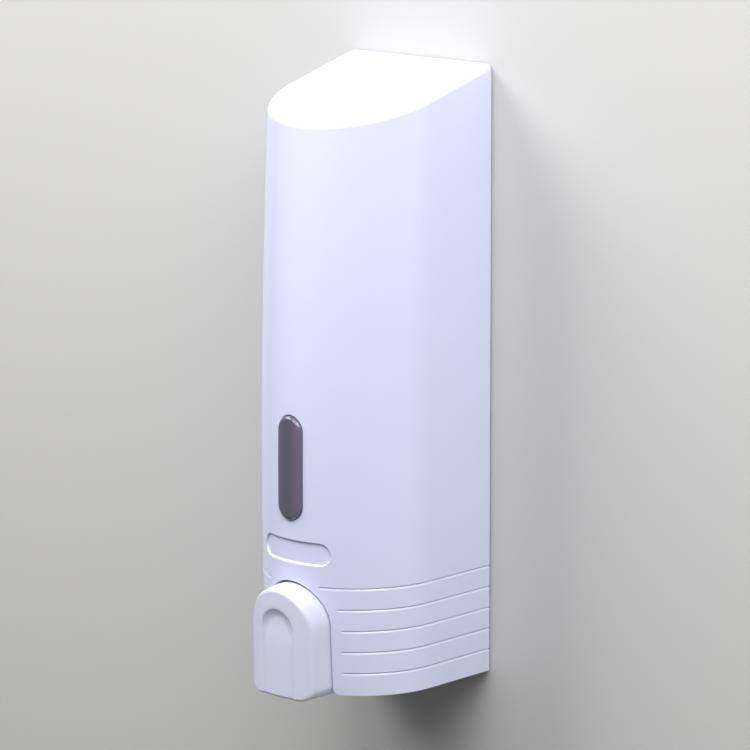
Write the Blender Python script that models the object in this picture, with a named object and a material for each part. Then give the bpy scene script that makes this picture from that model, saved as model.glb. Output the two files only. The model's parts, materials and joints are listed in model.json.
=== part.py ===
"""A wall mounted soap dispenser with a push button, for Blender 4.5.

Units are metres and +Z is up. The origin lies in the wall plate's back face, half way up the
dispenser, which faces -Y. Heights are measured up from the cover's bottom edge, and depths are
distances from the wall.
"""

from math import acos, atan, cos, pi, radians, sin, sqrt, tan

import bmesh
import bpy
from mathutils import Matrix

MM = 0.001
GAP = 0.3 * MM  # between pieces that touch
CLEAR = 1 * MM  # how far a cutter runs past the surface it cuts

# The cover's outer shape: a D in plan, with straight sides and a half-elliptic front.
HEIGHT = 225 * MM  # at the rear edge
WIDTH = 70 * MM
SIDE_DEPTH = 32.5 * MM  # where the straight sides turn into the ellipse
FRONT_DEPTH = 67.3 * MM  # at the bottom edge
FRONT_CURVE = (0.2173, -0.3632, 0.0640)  # swells below the middle and leans back above it
TOP_SLOPE = tan(radians(16.0))
TOP_FILLET = 2 * MM
COVER_WALL = 2.2 * MM

# The wall plate, inside the cover's rear edge.
PLATE, PLATE_HALF, PLATE_TOP = 1.5 * MM, 32.4 * MM, 221.5 * MM
RAIL_IN, RAIL_OUT, LIP_OUT = 28.6 * MM, 30.2 * MM, 32.2 * MM
LIP_DEPTH, RAIL_DEPTH = 5.6 * MM, 7.2 * MM
RAIL_FOOT, RAIL_TOP = 8 * MM, 200 * MM
LUG_IN, LUG_FRONT = 31 * MM, 5.2 * MM
LUG_FOOT = 12.3 * MM
LUG_HEIGHT = 20 * MM
UPPER_LUG = 165 * MM
SHELF_HALF, SHELF_DEPTH = 26 * MM, 44 * MM
SHELF_TOP, SHELF = 51.7 * MM, 2.5 * MM
KEYHOLE_X, KEYHOLE_HEIGHT, KEYHOLE_RADIUS, KEYHOLE_SLOT = 18 * MM, 192 * MM, 4.5 * MM, 2.4 * MM
SCREW_HOLE_HEIGHT, SCREW_HOLE_RADIUS = 10 * MM, 3.2 * MM

# What shows on the front of the cover.
WINDOW_HALF, WINDOW_TOP, WINDOW_FOOT = 5.8 * MM, 102 * MM, 63.5 * MM
LABEL_HALF, LABEL_RADIUS, LABEL_HEIGHT, LABEL_DEPTH = 16 * MM, 4.1 * MM, 52.2 * MM, 0.9 * MM
OPENING_HALF, OPENING_SPRING = 15.5 * MM, 25.5 * MM
GROOVES = 5
GROOVE_TOP, GROOVE_PITCH, GROOVE_HALF, GROOVE_CUT = 40.1 * MM, 7.9 * MM, 0.5 * MM, 0.7 * MM
GROOVE_MARGIN = 3.4 * MM  # from a groove's end to the button opening

# The button, a cap that is open at the back.
BUTTON_HALF, BUTTON_SPRING, BUTTON_FOOT = 15 * MM, 25.3 * MM, -1.3 * MM
BUTTON_TAPER = 1.7 * MM  # how much lower its arch is at the front
BUTTON_SIDE, BUTTON_CROWN, BUTTON_BACK = 74 * MM, 3.2 * MM, 57 * MM
BUTTON_WALL = 2 * MM
THUMB_HALF, THUMB_SPRING, THUMB_CUT = 7.8 * MM, 24.2 * MM, 2.2 * MM
PIN_RADIUS, PIN_DEPTH = 1 * MM, 67 * MM

# The soap tank.
TANK_HALF, TANK_BACK, TANK_FRONT = 30.5 * MM, 8 * MM, 59 * MM
TANK_FOOT, TANK_TOP, TANK_WALL, TANK_ROUND = 52 * MM, 168 * MM, 1.5 * MM, 4 * MM
MOUTH_HALF, MOUTH_BACK, MOUTH_FRONT = 16.5 * MM, 22.5 * MM, 49 * MM
NECK_RADIUS, NECK_BORE, NECK_FOOT = 7.5 * MM, 5 * MM, 44 * MM

# The tank's hinged lid.
LID_HALF, LID_FRONT, LID_FOOT, LID = 21 * MM, 53 * MM, 169.6 * MM, 2 * MM
HINGE_DEPTH, HINGE_HEIGHT, HINGE_PIN = 15.5 * MM, 171.5 * MM, 1.2 * MM
KNUCKLE_RADIUS, KNUCKLE_HALF = 2.6 * MM, 17 * MM
EAR_IN, EAR_OUT, EAR_RADIUS = 17.4 * MM, 20.5 * MM, 2.2 * MM

# The clips that hold the tank's top.
CLIP_IN, CLIP_OUT, CLIP = 22.2 * MM, 28.2 * MM, 1.4 * MM
CLIP_BACK, CLIP_FRONT, CLIP_TOP = 6.8 * MM, 13 * MM, 182 * MM
CLIP_SCREW_HEIGHT = 177 * MM

# The pump lies under the tank, along Y.
PUMP_HEIGHT = 24 * MM
PUMP_RADIUS, PUMP_BORE = 9.5 * MM, 8 * MM
PUMP_BACK, PUMP_MOUTH, PUMP_END = 20 * MM, 50 * MM, 2 * MM
PORT_DEPTH, PORT_RADIUS = 25 * MM, 2 * MM
SOCKET_RADIUS, SOCKET_BORE, SOCKET_TOP, SOCKET_FLOOR = 7.5 * MM, 5 * MM, 42 * MM, 33.5 * MM
COLLAR_RADIUS, COLLAR = 9.5 * MM, 2 * MM
SPIGOT_RADIUS, SPIGOT_FOOT = 5.5 * MM, 10 * MM
FOOT_HALF, FOOT_DEPTH, FOOT = 20 * MM, 17 * MM, 3.4 * MM
PUMP_SCREW_X = 15 * MM
ROD_RADIUS = 3 * MM
GLAND_FACE = PUMP_MOUTH + 2.5 * MM
BUTTON_TRAVEL, SHOULDER = 8 * MM, 2 * MM
BOSS_RADIUS, BOSS_END = 6 * MM, 74 * MM
BOSS_BACK = GLAND_FACE + BUTTON_TRAVEL + SHOULDER + 0.5 * MM
PISTON_DEPTH, PISTON_RADIUS, PISTON = 36 * MM, 7.4 * MM, 4 * MM
BALL_RADIUS, BALL_HEIGHT = 2.5 * MM, 37.4 * MM
SPRING_RADIUS, SPRING_WIRE, SPRING_TURNS = 5.8 * MM, 0.45 * MM, 4.5

SCREW_HEAD, SCREW_HEAD_HEIGHT, SCREW_SHANK, SCREW_BORE = 3 * MM, 1.8 * MM, 1.4 * MM, 1.75 * MM
BOSS = 3.5 * MM

ABS_WHITE = dict(color=(0.80, 0.81, 0.86), roughness=0.2)
ABS_BUTTON = dict(color=(0.77, 0.78, 0.85), roughness=0.24)
PLATE_WHITE = dict(color=(0.74, 0.75, 0.78), roughness=0.4)
SMOKE = dict(color=(0.06, 0.06, 0.09), roughness=0.08, alpha=0.75)
CLEAR_TANK = dict(color=(0.82, 0.87, 0.90), roughness=0.15, alpha=0.4)
NATURAL = dict(color=(0.86, 0.87, 0.85), roughness=0.35)
GREY_PLASTIC = dict(color=(0.35, 0.37, 0.40), roughness=0.4)
SILICONE = dict(color=(0.70, 0.72, 0.74), roughness=0.55)
RUBBER = dict(color=(0.04, 0.04, 0.045), roughness=0.6)
STEEL = dict(color=(0.72, 0.72, 0.73), roughness=0.25, metallic=1.0)


def clear_scene():
    for thing in list(bpy.data.objects):
        bpy.data.objects.remove(thing, do_unlink=True)


def up(height):
    """The row's z of a height above the cover's bottom edge."""
    return height - HEIGHT / 2


def material(name, color, roughness, metallic=0.0, alpha=1.0):
    made = bpy.data.materials.new(name)
    made.use_nodes = True
    shader = made.node_tree.nodes["Principled BSDF"]
    shader.inputs["Base Color"].default_value = (*color, 1)
    shader.inputs["Roughness"].default_value = roughness
    shader.inputs["Metallic"].default_value = metallic
    shader.inputs["Alpha"].default_value = alpha
    return made


def solid(name, bm, look=None):
    """Turns a closed bmesh into an object; without a look it is a hidden guide."""
    bmesh.ops.recalc_face_normals(bm, faces=bm.faces)
    mesh = bpy.data.meshes.new(name)
    bm.to_mesh(mesh)
    bm.free()
    mesh.shade_smooth()
    mesh.set_sharp_from_angle(angle=radians(35))
    made = bpy.data.objects.new(name, mesh)
    bpy.context.collection.objects.link(made)
    if look:
        mesh.materials.append(material(name, **look))
    else:
        made.hide_render = True
        made.display_type = "WIRE"
    return made


def loft(name, loops, look=None):
    """Skins closed loops that have the same number of points, and caps both ends."""
    bm = bmesh.new()
    rings = [[bm.verts.new(point) for point in loop] for loop in loops]
    for low, high in zip(rings, rings[1:]):
        for i in range(len(low)):
            j = (i + 1) % len(low)
            bm.faces.new((low[i], low[j], high[j], high[i]))
    bm.faces.new(list(reversed(rings[0])))
    bm.faces.new(rings[-1])
    return solid(name, bm, look)


def box(name, x, depth, height, look=None):
    """A block between two x values, two depths and two heights."""
    corners = ((0, 0), (1, 0), (1, 1), (0, 1))
    loops = [[(x[i], -depth[j], up(h)) for i, j in corners] for h in height]
    return loft(name, loops, look)


def prism_y(name, outline, depth, look=None):
    """An outline of (x, height) points run between two depths."""
    return loft(name, [[(x, -d, up(h)) for x, h in outline] for d in depth], look)


def prism_x(name, outline, x, look=None):
    """An outline of (depth, height) points run between two x values."""
    return loft(name, [[(side, -d, up(h)) for d, h in outline] for side in x], look)


def turned(name, profile, look=None, segments=24):
    """Turns a closed outline of (radius, z) points about the local Z axis.

    A flat end on the axis becomes one face, and a pointed one a fan."""
    bm = bmesh.new()
    rings = []
    for radius, z in profile:
        count = segments if radius > 0 else 1
        turns = [2 * pi * k / segments for k in range(count)]
        rings.append([bm.verts.new((radius * cos(a), radius * sin(a), z)) for a in turns])
    for low, high in zip(rings, rings[1:] + rings[:1]):
        if len(low) == len(high) == 1:
            continue
        if len(low) != len(high) and low[0].co.z == high[0].co.z:
            bm.faces.new(max(low, high, key=len))
            continue
        for k in range(segments):
            n = (k + 1) % segments
            corners = (low[k % len(low)], low[n % len(low)], high[n % len(high)], high[k % len(high)])
            bm.faces.new(list(dict.fromkeys(corners)))
    loose = [v for v in bm.verts if not v.link_faces]
    bmesh.ops.delete(bm, geom=loose, context="VERTS")
    return solid(name, bm, look)


def rod(name, radius, low, high, look=None, segments=24):
    return turned(name, [(0, low), (radius, low), (radius, high), (0, high)], look, segments)


def upright(made, x, depth, height=0):
    """Stands a turned piece on its place; its local z then adds to the height given."""
    made.location = (x, -depth, up(height))
    return made


def facing(made, x, height):
    """Lays a turned piece along -Y, so that its local z is the depth from the wall."""
    made.location = (x, 0, up(height))
    made.rotation_euler = (radians(90), 0, 0)
    return made


def crosswise(made, depth, height):
    """Lays a turned piece along X."""
    made.location = (0, -depth, up(height))
    made.rotation_euler = (0, radians(90), 0)
    return made


def combine(target, operation, others):
    for other in others:
        modifier = target.modifiers.new(other.name, "BOOLEAN")
        modifier.operation = operation
        modifier.object = other
    return target


def join(target, *others):
    return combine(target, "UNION", others)


def cut(target, *others):
    return combine(target, "DIFFERENCE", others)


def hang(empty_name, location, *pieces):
    """Parents pieces to an empty on their joint's axis, without moving them."""
    empty = bpy.data.objects.new(empty_name, None)
    bpy.context.collection.objects.link(empty)
    empty.location = location
    for piece in pieces:
        piece.parent = empty
        piece.matrix_parent_inverse = Matrix.Translation(location).inverted()


# Outlines


def arc(cx, cy, rx, ry, start, end, count):
    """Points on an ellipse from one angle to another, in degrees, ends included."""
    angles = [radians(start + (end - start) * k / count) for k in range(count + 1)]
    return [(cx + rx * cos(a), cy + ry * sin(a)) for a in angles]


def stadium(half, foot, top, count=10):
    """An upright slot with round ends, as (x, height) points."""
    upper = arc(0, top - half, half, half, 0, 180, count)
    return upper + arc(0, foot + half, half, half, 180, 360, count)


def arch(half, spring, foot, count=16):
    """Straight sides up to the spring line and a half circle above it."""
    return arc(0, spring, half, half, 0, 180, count) + [(-half, foot), (half, foot)]


def d_plan(half, back, side, front, count=26):
    """A D in plan, as (x, depth) points from the right rear corner to the left one."""
    return [(half, back), *arc(0, side, half, front - side, 0, 180, count), (-half, back)]


def front_depth(height):
    """The depth of the cover's front line at a height."""
    t = height / HEIGHT
    a, b, c = FRONT_CURVE
    return FRONT_DEPTH * (1 + a * t + b * t * t + c * t**3)


def surface_depth(x, height):
    """The depth of the cover's curved front surface."""
    bulge = front_depth(height) - SIDE_DEPTH
    return SIDE_DEPTH + bulge * sqrt(1 - (x / (WIDTH / 2)) ** 2)


# The cover


def shell_loops(inset, back, foot, drop, fillet):
    """Loops of the cover's shape, moved in by inset, from the foot to the slanting top."""
    half = WIDTH / 2 - inset
    rows = 10
    turns = [radians(90 * k / 3) for k in range(4)] if fillet else [radians(90)]
    steps = [(k / rows, 0.0, fillet) for k in range(rows)]
    steps += [(1.0, fillet * (1 - cos(a)), fillet * (1 - sin(a))) for a in turns]
    loops = []
    for share, pull, below in steps:
        loop = []
        for x, depth in d_plan(half - pull, back, SIDE_DEPTH, FRONT_DEPTH):
            height = foot
            for _ in range(4):
                if depth > SIDE_DEPTH:
                    bulge = front_depth(height) - SIDE_DEPTH - inset - pull
                    depth = SIDE_DEPTH + bulge * sqrt(max(0, 1 - (x / (half - pull)) ** 2))
                height = foot + share * (HEIGHT - drop - below - TOP_SLOPE * depth - foot)
            loop.append((x, -depth, up(height)))
        loops.append(loop)
    return loops


def groove_cutter(side, index):
    """A band around one side of the cover, from behind the rear edge to near the button."""
    height = GROOVE_TOP - index * GROOVE_PITCH
    rise = max(0.0, height - OPENING_SPRING)
    end = sqrt((OPENING_HALF + GROOVE_MARGIN) ** 2 - rise**2)
    last = acos(end / (WIDTH / 2))
    stations = [(0.0, -CLEAR), (0.0, SIDE_DEPTH)]
    stations += [(last * k / 9, None) for k in range(1, 10)]
    loops = []
    for angle, straight in stations:
        loop = []
        for inset, lift in ((-CLEAR, -1), (GROOVE_CUT, -1), (GROOVE_CUT, 1), (-CLEAR, 1)):
            x = (WIDTH / 2 - inset) * cos(angle)
            bulge = front_depth(height) - SIDE_DEPTH - inset
            depth = straight if straight is not None else SIDE_DEPTH + bulge * sin(angle)
            loop.append((side * x, -depth, up(height + lift * GROOVE_HALF)))
        loops.append(loop)
    return loft("groove_cutter", loops)


def surface_patch(name, stations, inner, outer, look=None):
    """A piece that follows the cover's front between two depths below its surface.

    Each station is (x, lowest height, highest height)."""
    loops = []
    for x, low, high in stations:
        middle = (low + high) / 2
        loop = [(x, -(surface_depth(x, h) - outer), up(h)) for h in (low, middle, high)]
        loop += [(x, -(surface_depth(x, h) - inner), up(h)) for h in (high, middle, low)]
        loops.append(loop)
    return loft(name, loops, look)


def slot_stations(half, foot, top, count=12):
    """Stations across an upright slot with round ends."""
    angles = [radians(8 + 164 * k / count) for k in range(count + 1)]
    spread = [(-half * cos(a), half * sin(a)) for a in angles]
    return [(x, foot + half - rise, top - half + rise) for x, rise in spread]


def label_cutter():
    """A lying slot with round ends, sunk a little into the cover."""
    straight = LABEL_HALF - LABEL_RADIUS
    ends = [radians(10 + 80 * k / 4) for k in range(5)]
    left = [(-straight - LABEL_RADIUS * cos(a), LABEL_RADIUS * sin(a)) for a in ends]
    middle = [(straight * k / 5, LABEL_RADIUS) for k in range(-4, 5)]
    right = [(-x, rise) for x, rise in reversed(left)]
    stations = [(x, LABEL_HEIGHT - r, LABEL_HEIGHT + r) for x, r in left + middle + right]
    return surface_patch("label_cutter", stations, LABEL_DEPTH, -2 * CLEAR)


def front_cover():
    cover = loft("front_cover", shell_loops(0, GAP, 0, 0, TOP_FILLET), ABS_WHITE)
    drop = COVER_WALL / cos(atan(TOP_SLOPE))
    cut(cover, loft("cover_core", shell_loops(COVER_WALL, -CLEAR, -CLEAR, drop, 0)))
    reach = (SIDE_DEPTH + CLEAR, FRONT_DEPTH + 10 * MM)
    cut(cover, prism_y("opening_cutter", arch(OPENING_HALF, OPENING_SPRING, -CLEAR), reach))
    cut(cover, prism_y("window_cutter", stadium(WINDOW_HALF, WINDOW_FOOT, WINDOW_TOP), reach))
    cut(cover, label_cutter())
    for side in (-1, 1):
        for foot in (LUG_FOOT, UPPER_LUG):
            x = sorted((side * LUG_IN, side * (WIDTH / 2 - COVER_WALL / 2)))
            depth = (PLATE + GAP + CLEAR, LUG_FRONT)
            join(cover, box("cover_lug", x, depth, (foot, foot + LUG_HEIGHT)))
        for index in range(GROOVES):
            cut(cover, groove_cutter(side, index))
    return cover


def window_lens():
    """The lens fills the slot and has a flange behind the cover's wall."""
    half, foot, top = WINDOW_HALF - GAP, WINDOW_FOOT + GAP, WINDOW_TOP - GAP
    flange, rim = COVER_WALL + GAP, 2 * MM
    lens = surface_patch("window_lens", slot_stations(half, foot, top), flange + MM, 0.6 * MM, SMOKE)
    wide = slot_stations(half + rim, foot - rim, top + rim)
    return join(lens, surface_patch("lens_flange", wide, flange + 1.2 * MM, flange))


# The button


def button_columns(shrink, front_inset, back, foot):
    """Upright four-cornered loops across the button, narrower by shrink all round."""
    half = BUTTON_HALF - shrink
    columns = []
    for k in range(25):
        angle = pi * (0.012 + 0.976 * k / 24)
        x, rise = -half * cos(angle), half * sin(angle)
        crown = BUTTON_SIDE + BUTTON_CROWN * (1 - (x / half) ** 2) - front_inset
        high = BUTTON_SPRING + rise
        lower = high - BUTTON_TAPER
        corners = ((back, foot), (back, high), (crown, lower), (crown, foot))
        columns.append([(x, -depth, up(height)) for depth, height in corners])
    return columns


def push_button():
    button = loft("push_button", button_columns(0, 0, BUTTON_BACK, BUTTON_FOOT), ABS_BUTTON)
    inner_foot = BUTTON_FOOT + BUTTON_WALL
    hollow = button_columns(BUTTON_WALL, 2 * BUTTON_WALL, BUTTON_BACK - CLEAR, inner_foot)
    cut(button, loft("button_core", hollow))
    boss = [(ROD_RADIUS + GAP, BOSS_BACK), (BOSS_RADIUS, BOSS_BACK)]
    boss += [(BOSS_RADIUS, BOSS_END), (ROD_RADIUS + GAP, BOSS_END)]
    join(button, facing(turned("button_boss", boss), 0, PUMP_HEIGHT))
    thumb = arch(THUMB_HALF, THUMB_SPRING, BUTTON_FOOT - CLEAR)
    front = BUTTON_SIDE + BUTTON_CROWN
    cut(button, prism_y("thumb_cutter", thumb, (front - THUMB_CUT, front + CLEAR)))
    bore = rod("button_pin_bore", PIN_RADIUS + GAP, -BOSS_RADIUS - CLEAR, BOSS_RADIUS + CLEAR)
    return cut(button, crosswise(bore, PIN_DEPTH, PUMP_HEIGHT))


def plunger():
    """The piston, its rod and the shoulder that the button bears on."""
    groove = PISTON_RADIUS - 1.9 * MM
    edge = 1 * MM
    front = PISTON_DEPTH + PISTON
    profile = [(0, PISTON_DEPTH), (PISTON_RADIUS, PISTON_DEPTH), (PISTON_RADIUS, PISTON_DEPTH + edge)]
    profile += [(groove, PISTON_DEPTH + edge), (groove, front - edge)]
    profile += [(PISTON_RADIUS, front - edge), (PISTON_RADIUS, front), (ROD_RADIUS, front)]
    profile += [(ROD_RADIUS, BOSS_BACK - SHOULDER), (BOSS_RADIUS, BOSS_BACK - SHOULDER)]
    profile += [(BOSS_RADIUS, BOSS_BACK - GAP), (ROD_RADIUS, BOSS_BACK - GAP)]
    profile += [(ROD_RADIUS, BOSS_END - MM), (0, BOSS_END - MM)]
    made = facing(turned("plunger", profile, GREY_PLASTIC), 0, PUMP_HEIGHT)
    bore = rod("plunger_pin_bore", PIN_RADIUS + GAP, -2 * ROD_RADIUS, 2 * ROD_RADIUS)
    return cut(made, crosswise(bore, PIN_DEPTH, PUMP_HEIGHT))


def button_pin():
    pin = rod("button_pin", PIN_RADIUS, -BOSS_RADIUS, BOSS_RADIUS, STEEL, 20)
    return crosswise(pin, PIN_DEPTH, PUMP_HEIGHT)


def ring(name, inner, outer, low, high, look):
    return turned(name, [(inner, low), (outer, low), (outer, high), (inner, high)], look)


# The pump


def pump_body():
    body = rod("pump_body", PUMP_RADIUS, PUMP_BACK, PUMP_MOUTH, NATURAL)
    facing(body, 0, PUMP_HEIGHT)
    heights = (PUMP_HEIGHT - 6 * MM, PUMP_HEIGHT + 6 * MM)
    join(body, box("pump_foot", (-FOOT_HALF, FOOT_HALF), (FOOT_DEPTH, FOOT_DEPTH + FOOT), heights))
    root = PUMP_HEIGHT + 2 * MM
    socket = [(0, root), (SOCKET_RADIUS, root), (SOCKET_RADIUS, SOCKET_TOP - COLLAR)]
    socket += [(COLLAR_RADIUS, SOCKET_TOP - COLLAR), (COLLAR_RADIUS, SOCKET_TOP), (0, SOCKET_TOP)]
    join(body, upright(turned("pump_socket", socket), 0, PORT_DEPTH))
    join(body, upright(rod("pump_spigot", SPIGOT_RADIUS, SPIGOT_FOOT, PUMP_HEIGHT - 2 * MM), 0, PORT_DEPTH))
    bore = rod("pump_bore", PUMP_BORE, PUMP_BACK + PUMP_END, PUMP_MOUTH + CLEAR)
    cut(body, facing(bore, 0, PUMP_HEIGHT))
    pocket = rod("pocket_cutter", SOCKET_BORE, SOCKET_FLOOR, SOCKET_TOP + CLEAR)
    cut(body, upright(pocket, 0, PORT_DEPTH))
    port = rod("port_cutter", PORT_RADIUS, SPIGOT_FOOT - CLEAR, SOCKET_FLOOR + CLEAR, None, 20)
    cut(body, upright(port, 0, PORT_DEPTH))
    for side in (-1, 1):
        hole = rod("pump_screw_bore", SCREW_BORE, FOOT_DEPTH - CLEAR, FOOT_DEPTH + FOOT + CLEAR, None, 20)
        cut(body, facing(hole, side * PUMP_SCREW_X, PUMP_HEIGHT))
    return body


def gland_cap():
    """A cap screwed over the pump's mouth."""
    inner, outer, hole = PUMP_RADIUS + GAP, PUMP_RADIUS + 2 * MM, ROD_RADIUS + 0.8 * MM
    face, skirt = PUMP_MOUTH + GAP, PUMP_MOUTH - 5.7 * MM
    profile = [(inner, skirt), (outer, skirt), (outer, GLAND_FACE), (hole, GLAND_FACE)]
    profile += [(hole, face), (inner, face)]
    return facing(turned("gland_cap", profile, GREY_PLASTIC), 0, PUMP_HEIGHT)


def rod_wiper():
    inner, outer = ROD_RADIUS + GAP, PUMP_BORE - GAP
    made = ring("rod_wiper", inner, outer, PUMP_MOUTH - 2 * MM, PUMP_MOUTH, RUBBER)
    return facing(made, 0, PUMP_HEIGHT)


def piston_seal():
    inner, outer = PISTON_RADIUS - 1.6 * MM, PUMP_BORE - GAP
    low, high = PISTON_DEPTH + 1.3 * MM, PISTON_DEPTH + PISTON - 1.3 * MM
    return facing(ring("piston_seal", inner, outer, low, high, RUBBER), 0, PUMP_HEIGHT)


def return_spring():
    """A coil between the pump's closed end and the piston, with closer end turns."""
    low = PUMP_BACK + PUMP_END + GAP + SPRING_WIRE
    high = PISTON_DEPTH - GAP - SPRING_WIRE
    steps = int(SPRING_TURNS * 16)
    curve = bpy.data.curves.new("return_spring", "CURVE")
    curve.dimensions = "3D"
    curve.bevel_depth = SPRING_WIRE
    curve.bevel_resolution = 1
    curve.use_fill_caps = True
    spline = curve.splines.new("POLY")
    spline.points.add(steps)
    for k, point in enumerate(spline.points):
        share = k / steps
        eased = share - 0.5 / (2 * pi) * sin(2 * pi * share)
        angle = 2 * pi * SPRING_TURNS * share
        depth = low + (high - low) * eased
        x, rise = SPRING_RADIUS * cos(angle), SPRING_RADIUS * sin(angle)
        point.co = (x, -depth, up(PUMP_HEIGHT + rise), 1)
    made = bpy.data.objects.new("return_spring", curve)
    bpy.context.collection.objects.link(made)
    curve.materials.append(material("return_spring", **STEEL))
    return made


def inlet_valve():
    """The ball, the cage it rests in and the seat above it that it closes."""
    outer = SOCKET_BORE - GAP
    floor = SOCKET_FLOOR + GAP
    top = BALL_HEIGHT + BALL_RADIUS
    profile = [(0, floor), (outer, floor), (outer, top), (outer - 1.4 * MM, top)]
    profile += [(outer - 1.4 * MM, floor + 0.8 * MM), (0, floor + 0.8 * MM)]
    cage = upright(turned("ball_cage", profile, NATURAL), 0, PORT_DEPTH)
    reach = (floor - CLEAR, floor + 0.8 * MM + CLEAR)
    long, narrow = 2.6 * MM, 0.6 * MM
    for x, y in ((long, narrow), (narrow, long)):
        cut(cage, box("cage_slot", (-x, x), (PORT_DEPTH - y, PORT_DEPTH + y), reach))
    seat = ring("valve_seat", 1.8 * MM, outer, 40.8 * MM, 41.9 * MM, SILICONE)
    upright(seat, 0, PORT_DEPTH)
    ball = [(0, -BALL_RADIUS)]
    ball += [(BALL_RADIUS * cos(a), BALL_RADIUS * sin(a)) for a in (radians(15 * k - 75) for k in range(11))]
    ball += [(0, BALL_RADIUS)]
    made = upright(turned("inlet_ball", ball, STEEL, 20), 0, PORT_DEPTH, BALL_HEIGHT)
    hang("ball_joint", made.location, made)
    made.location = (0, 0, 0)
    made.matrix_parent_inverse = Matrix.Identity(4)


def union_nut():
    """The nut that holds the tank's neck on the pump's collar."""
    clear, wide = NECK_RADIUS + 0.4 * MM, COLLAR_RADIUS + 0.4 * MM
    outer, foot, top = 12 * MM, 37.7 * MM, 50 * MM
    under, over = SOCKET_TOP - COLLAR - GAP, SOCKET_TOP + 0.4 * MM
    profile = [(clear, foot), (outer, foot), (outer, top), (clear, top), (clear, over)]
    profile += [(wide, over), (wide, under), (clear, under)]
    return upright(turned("union_nut", profile, GREY_PLASTIC), 0, PORT_DEPTH)


def outlet_gasket():
    made = ring("outlet_gasket", 4.5 * MM, 7.2 * MM, SOCKET_TOP + GAP, NECK_FOOT - GAP, RUBBER)
    return upright(made, 0, PORT_DEPTH)


def outlet_valve():
    """A soft valve with a flange and two lips that meet in a slit."""
    flange, foot = SPIGOT_FOOT - GAP, 4.5 * MM
    outer, inner = 2.7 * MM, 1.7 * MM
    profile = [(5.2 * MM, flange - 1.1 * MM), (5.2 * MM, flange), (inner, flange)]
    profile += [(inner, foot + 2.2 * MM), (0.5 * MM, foot), (1.1 * MM, foot)]
    profile += [(outer, foot + 2 * MM), (outer, flange - 1.1 * MM)]
    return upright(turned("outlet_valve", profile, SILICONE, 24), 0, PORT_DEPTH)


def nozzle():
    """A cap on the pump's spigot that ends in a short tube."""
    floor = SPIGOT_FOOT - GAP - 1.1 * MM - GAP
    inner, outer, bore, tube = SPIGOT_RADIUS + GAP, SPIGOT_RADIUS + 2 * MM, 3.1 * MM, 4.2 * MM
    profile = [(bore, 2 * MM), (tube, 2 * MM), (tube, floor - MM), (outer, floor - MM)]
    profile += [(outer, 14 * MM), (inner, 14 * MM), (inner, floor), (bore, floor)]
    return upright(turned("nozzle", profile, NATURAL), 0, PORT_DEPTH)


def screw(name, x, height, under_head, length):
    """A pan-head screw along Y with a cross recess, its head towards the front."""
    rim = under_head + SCREW_HEAD_HEIGHT
    profile = [(0, under_head - length), (SCREW_SHANK, under_head - length), (SCREW_SHANK, under_head)]
    profile += [(SCREW_HEAD, under_head), (SCREW_HEAD, rim - 0.7 * MM), (SCREW_HEAD - 0.8 * MM, rim)]
    profile += [(0, rim)]
    made = facing(turned(name, profile, STEEL, 24), x, height)
    long, narrow = 1.7 * MM, 0.35 * MM
    for across, along in ((long, narrow), (narrow, long)):
        wide = (x - across, x + across)
        tall = (height - along, height + along)
        cut(made, box(name + "_recess", wide, (rim - 0.9 * MM, rim + CLEAR), tall))
    return made


# The tank


def tank_loops(inset, low, high):
    """Loops of the tank's shape with its bottom and top edges rounded."""
    loops = []
    turns = [radians(30 * k) for k in range(4)]
    steps = [(low, TANK_ROUND, a) for a in turns] + [(high, -TANK_ROUND, a) for a in reversed(turns)]
    for level, radius, a in steps:
        pull = TANK_ROUND * (1 - sin(a)) + inset
        height = level + radius * (1 - cos(a))
        plan = d_plan(TANK_HALF - pull, TANK_BACK + pull, SIDE_DEPTH, TANK_FRONT - pull, 24)
        loops.append([(x, -depth, up(height)) for x, depth in plan])
    return loops


def reservoir():
    tank = loft("reservoir", tank_loops(0, TANK_FOOT, TANK_TOP), CLEAR_TANK)
    neck = rod("neck", NECK_RADIUS, NECK_FOOT, TANK_FOOT + TANK_WALL / 2)
    join(tank, upright(neck, 0, PORT_DEPTH))
    for side in (-1, 1):
        x = sorted((side * EAR_IN, side * EAR_OUT))
        depth = (HINGE_DEPTH - EAR_RADIUS, HINGE_DEPTH + EAR_RADIUS)
        join(tank, prism_x("tank_ear", ear_outline(depth), x))
    cut(tank, loft("tank_core", tank_loops(TANK_WALL, TANK_FOOT + TANK_WALL, TANK_TOP - TANK_WALL)))
    mouth = (TANK_TOP - 2 * TANK_WALL, TANK_TOP + CLEAR)
    cut(tank, box("mouth_cutter", (-MOUTH_HALF, MOUTH_HALF), (MOUTH_BACK, MOUTH_FRONT), mouth))
    bore = rod("neck_bore", NECK_BORE, NECK_FOOT - CLEAR, TANK_FOOT + 2 * TANK_WALL)
    cut(tank, upright(bore, 0, PORT_DEPTH))
    pin = rod("ear_bore", HINGE_PIN + GAP, -EAR_OUT - CLEAR, EAR_OUT + CLEAR, None, 20)
    return cut(tank, crosswise(pin, HINGE_DEPTH, HINGE_HEIGHT))


def ear_outline(depth):
    """A hinge ear with a round top, standing in the tank's deck."""
    foot = TANK_TOP - TANK_WALL / 2
    top = arc(HINGE_DEPTH, HINGE_HEIGHT, EAR_RADIUS, EAR_RADIUS, 0, 180, 10)
    return [*top, (depth[0], foot), (depth[1], foot)]


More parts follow.
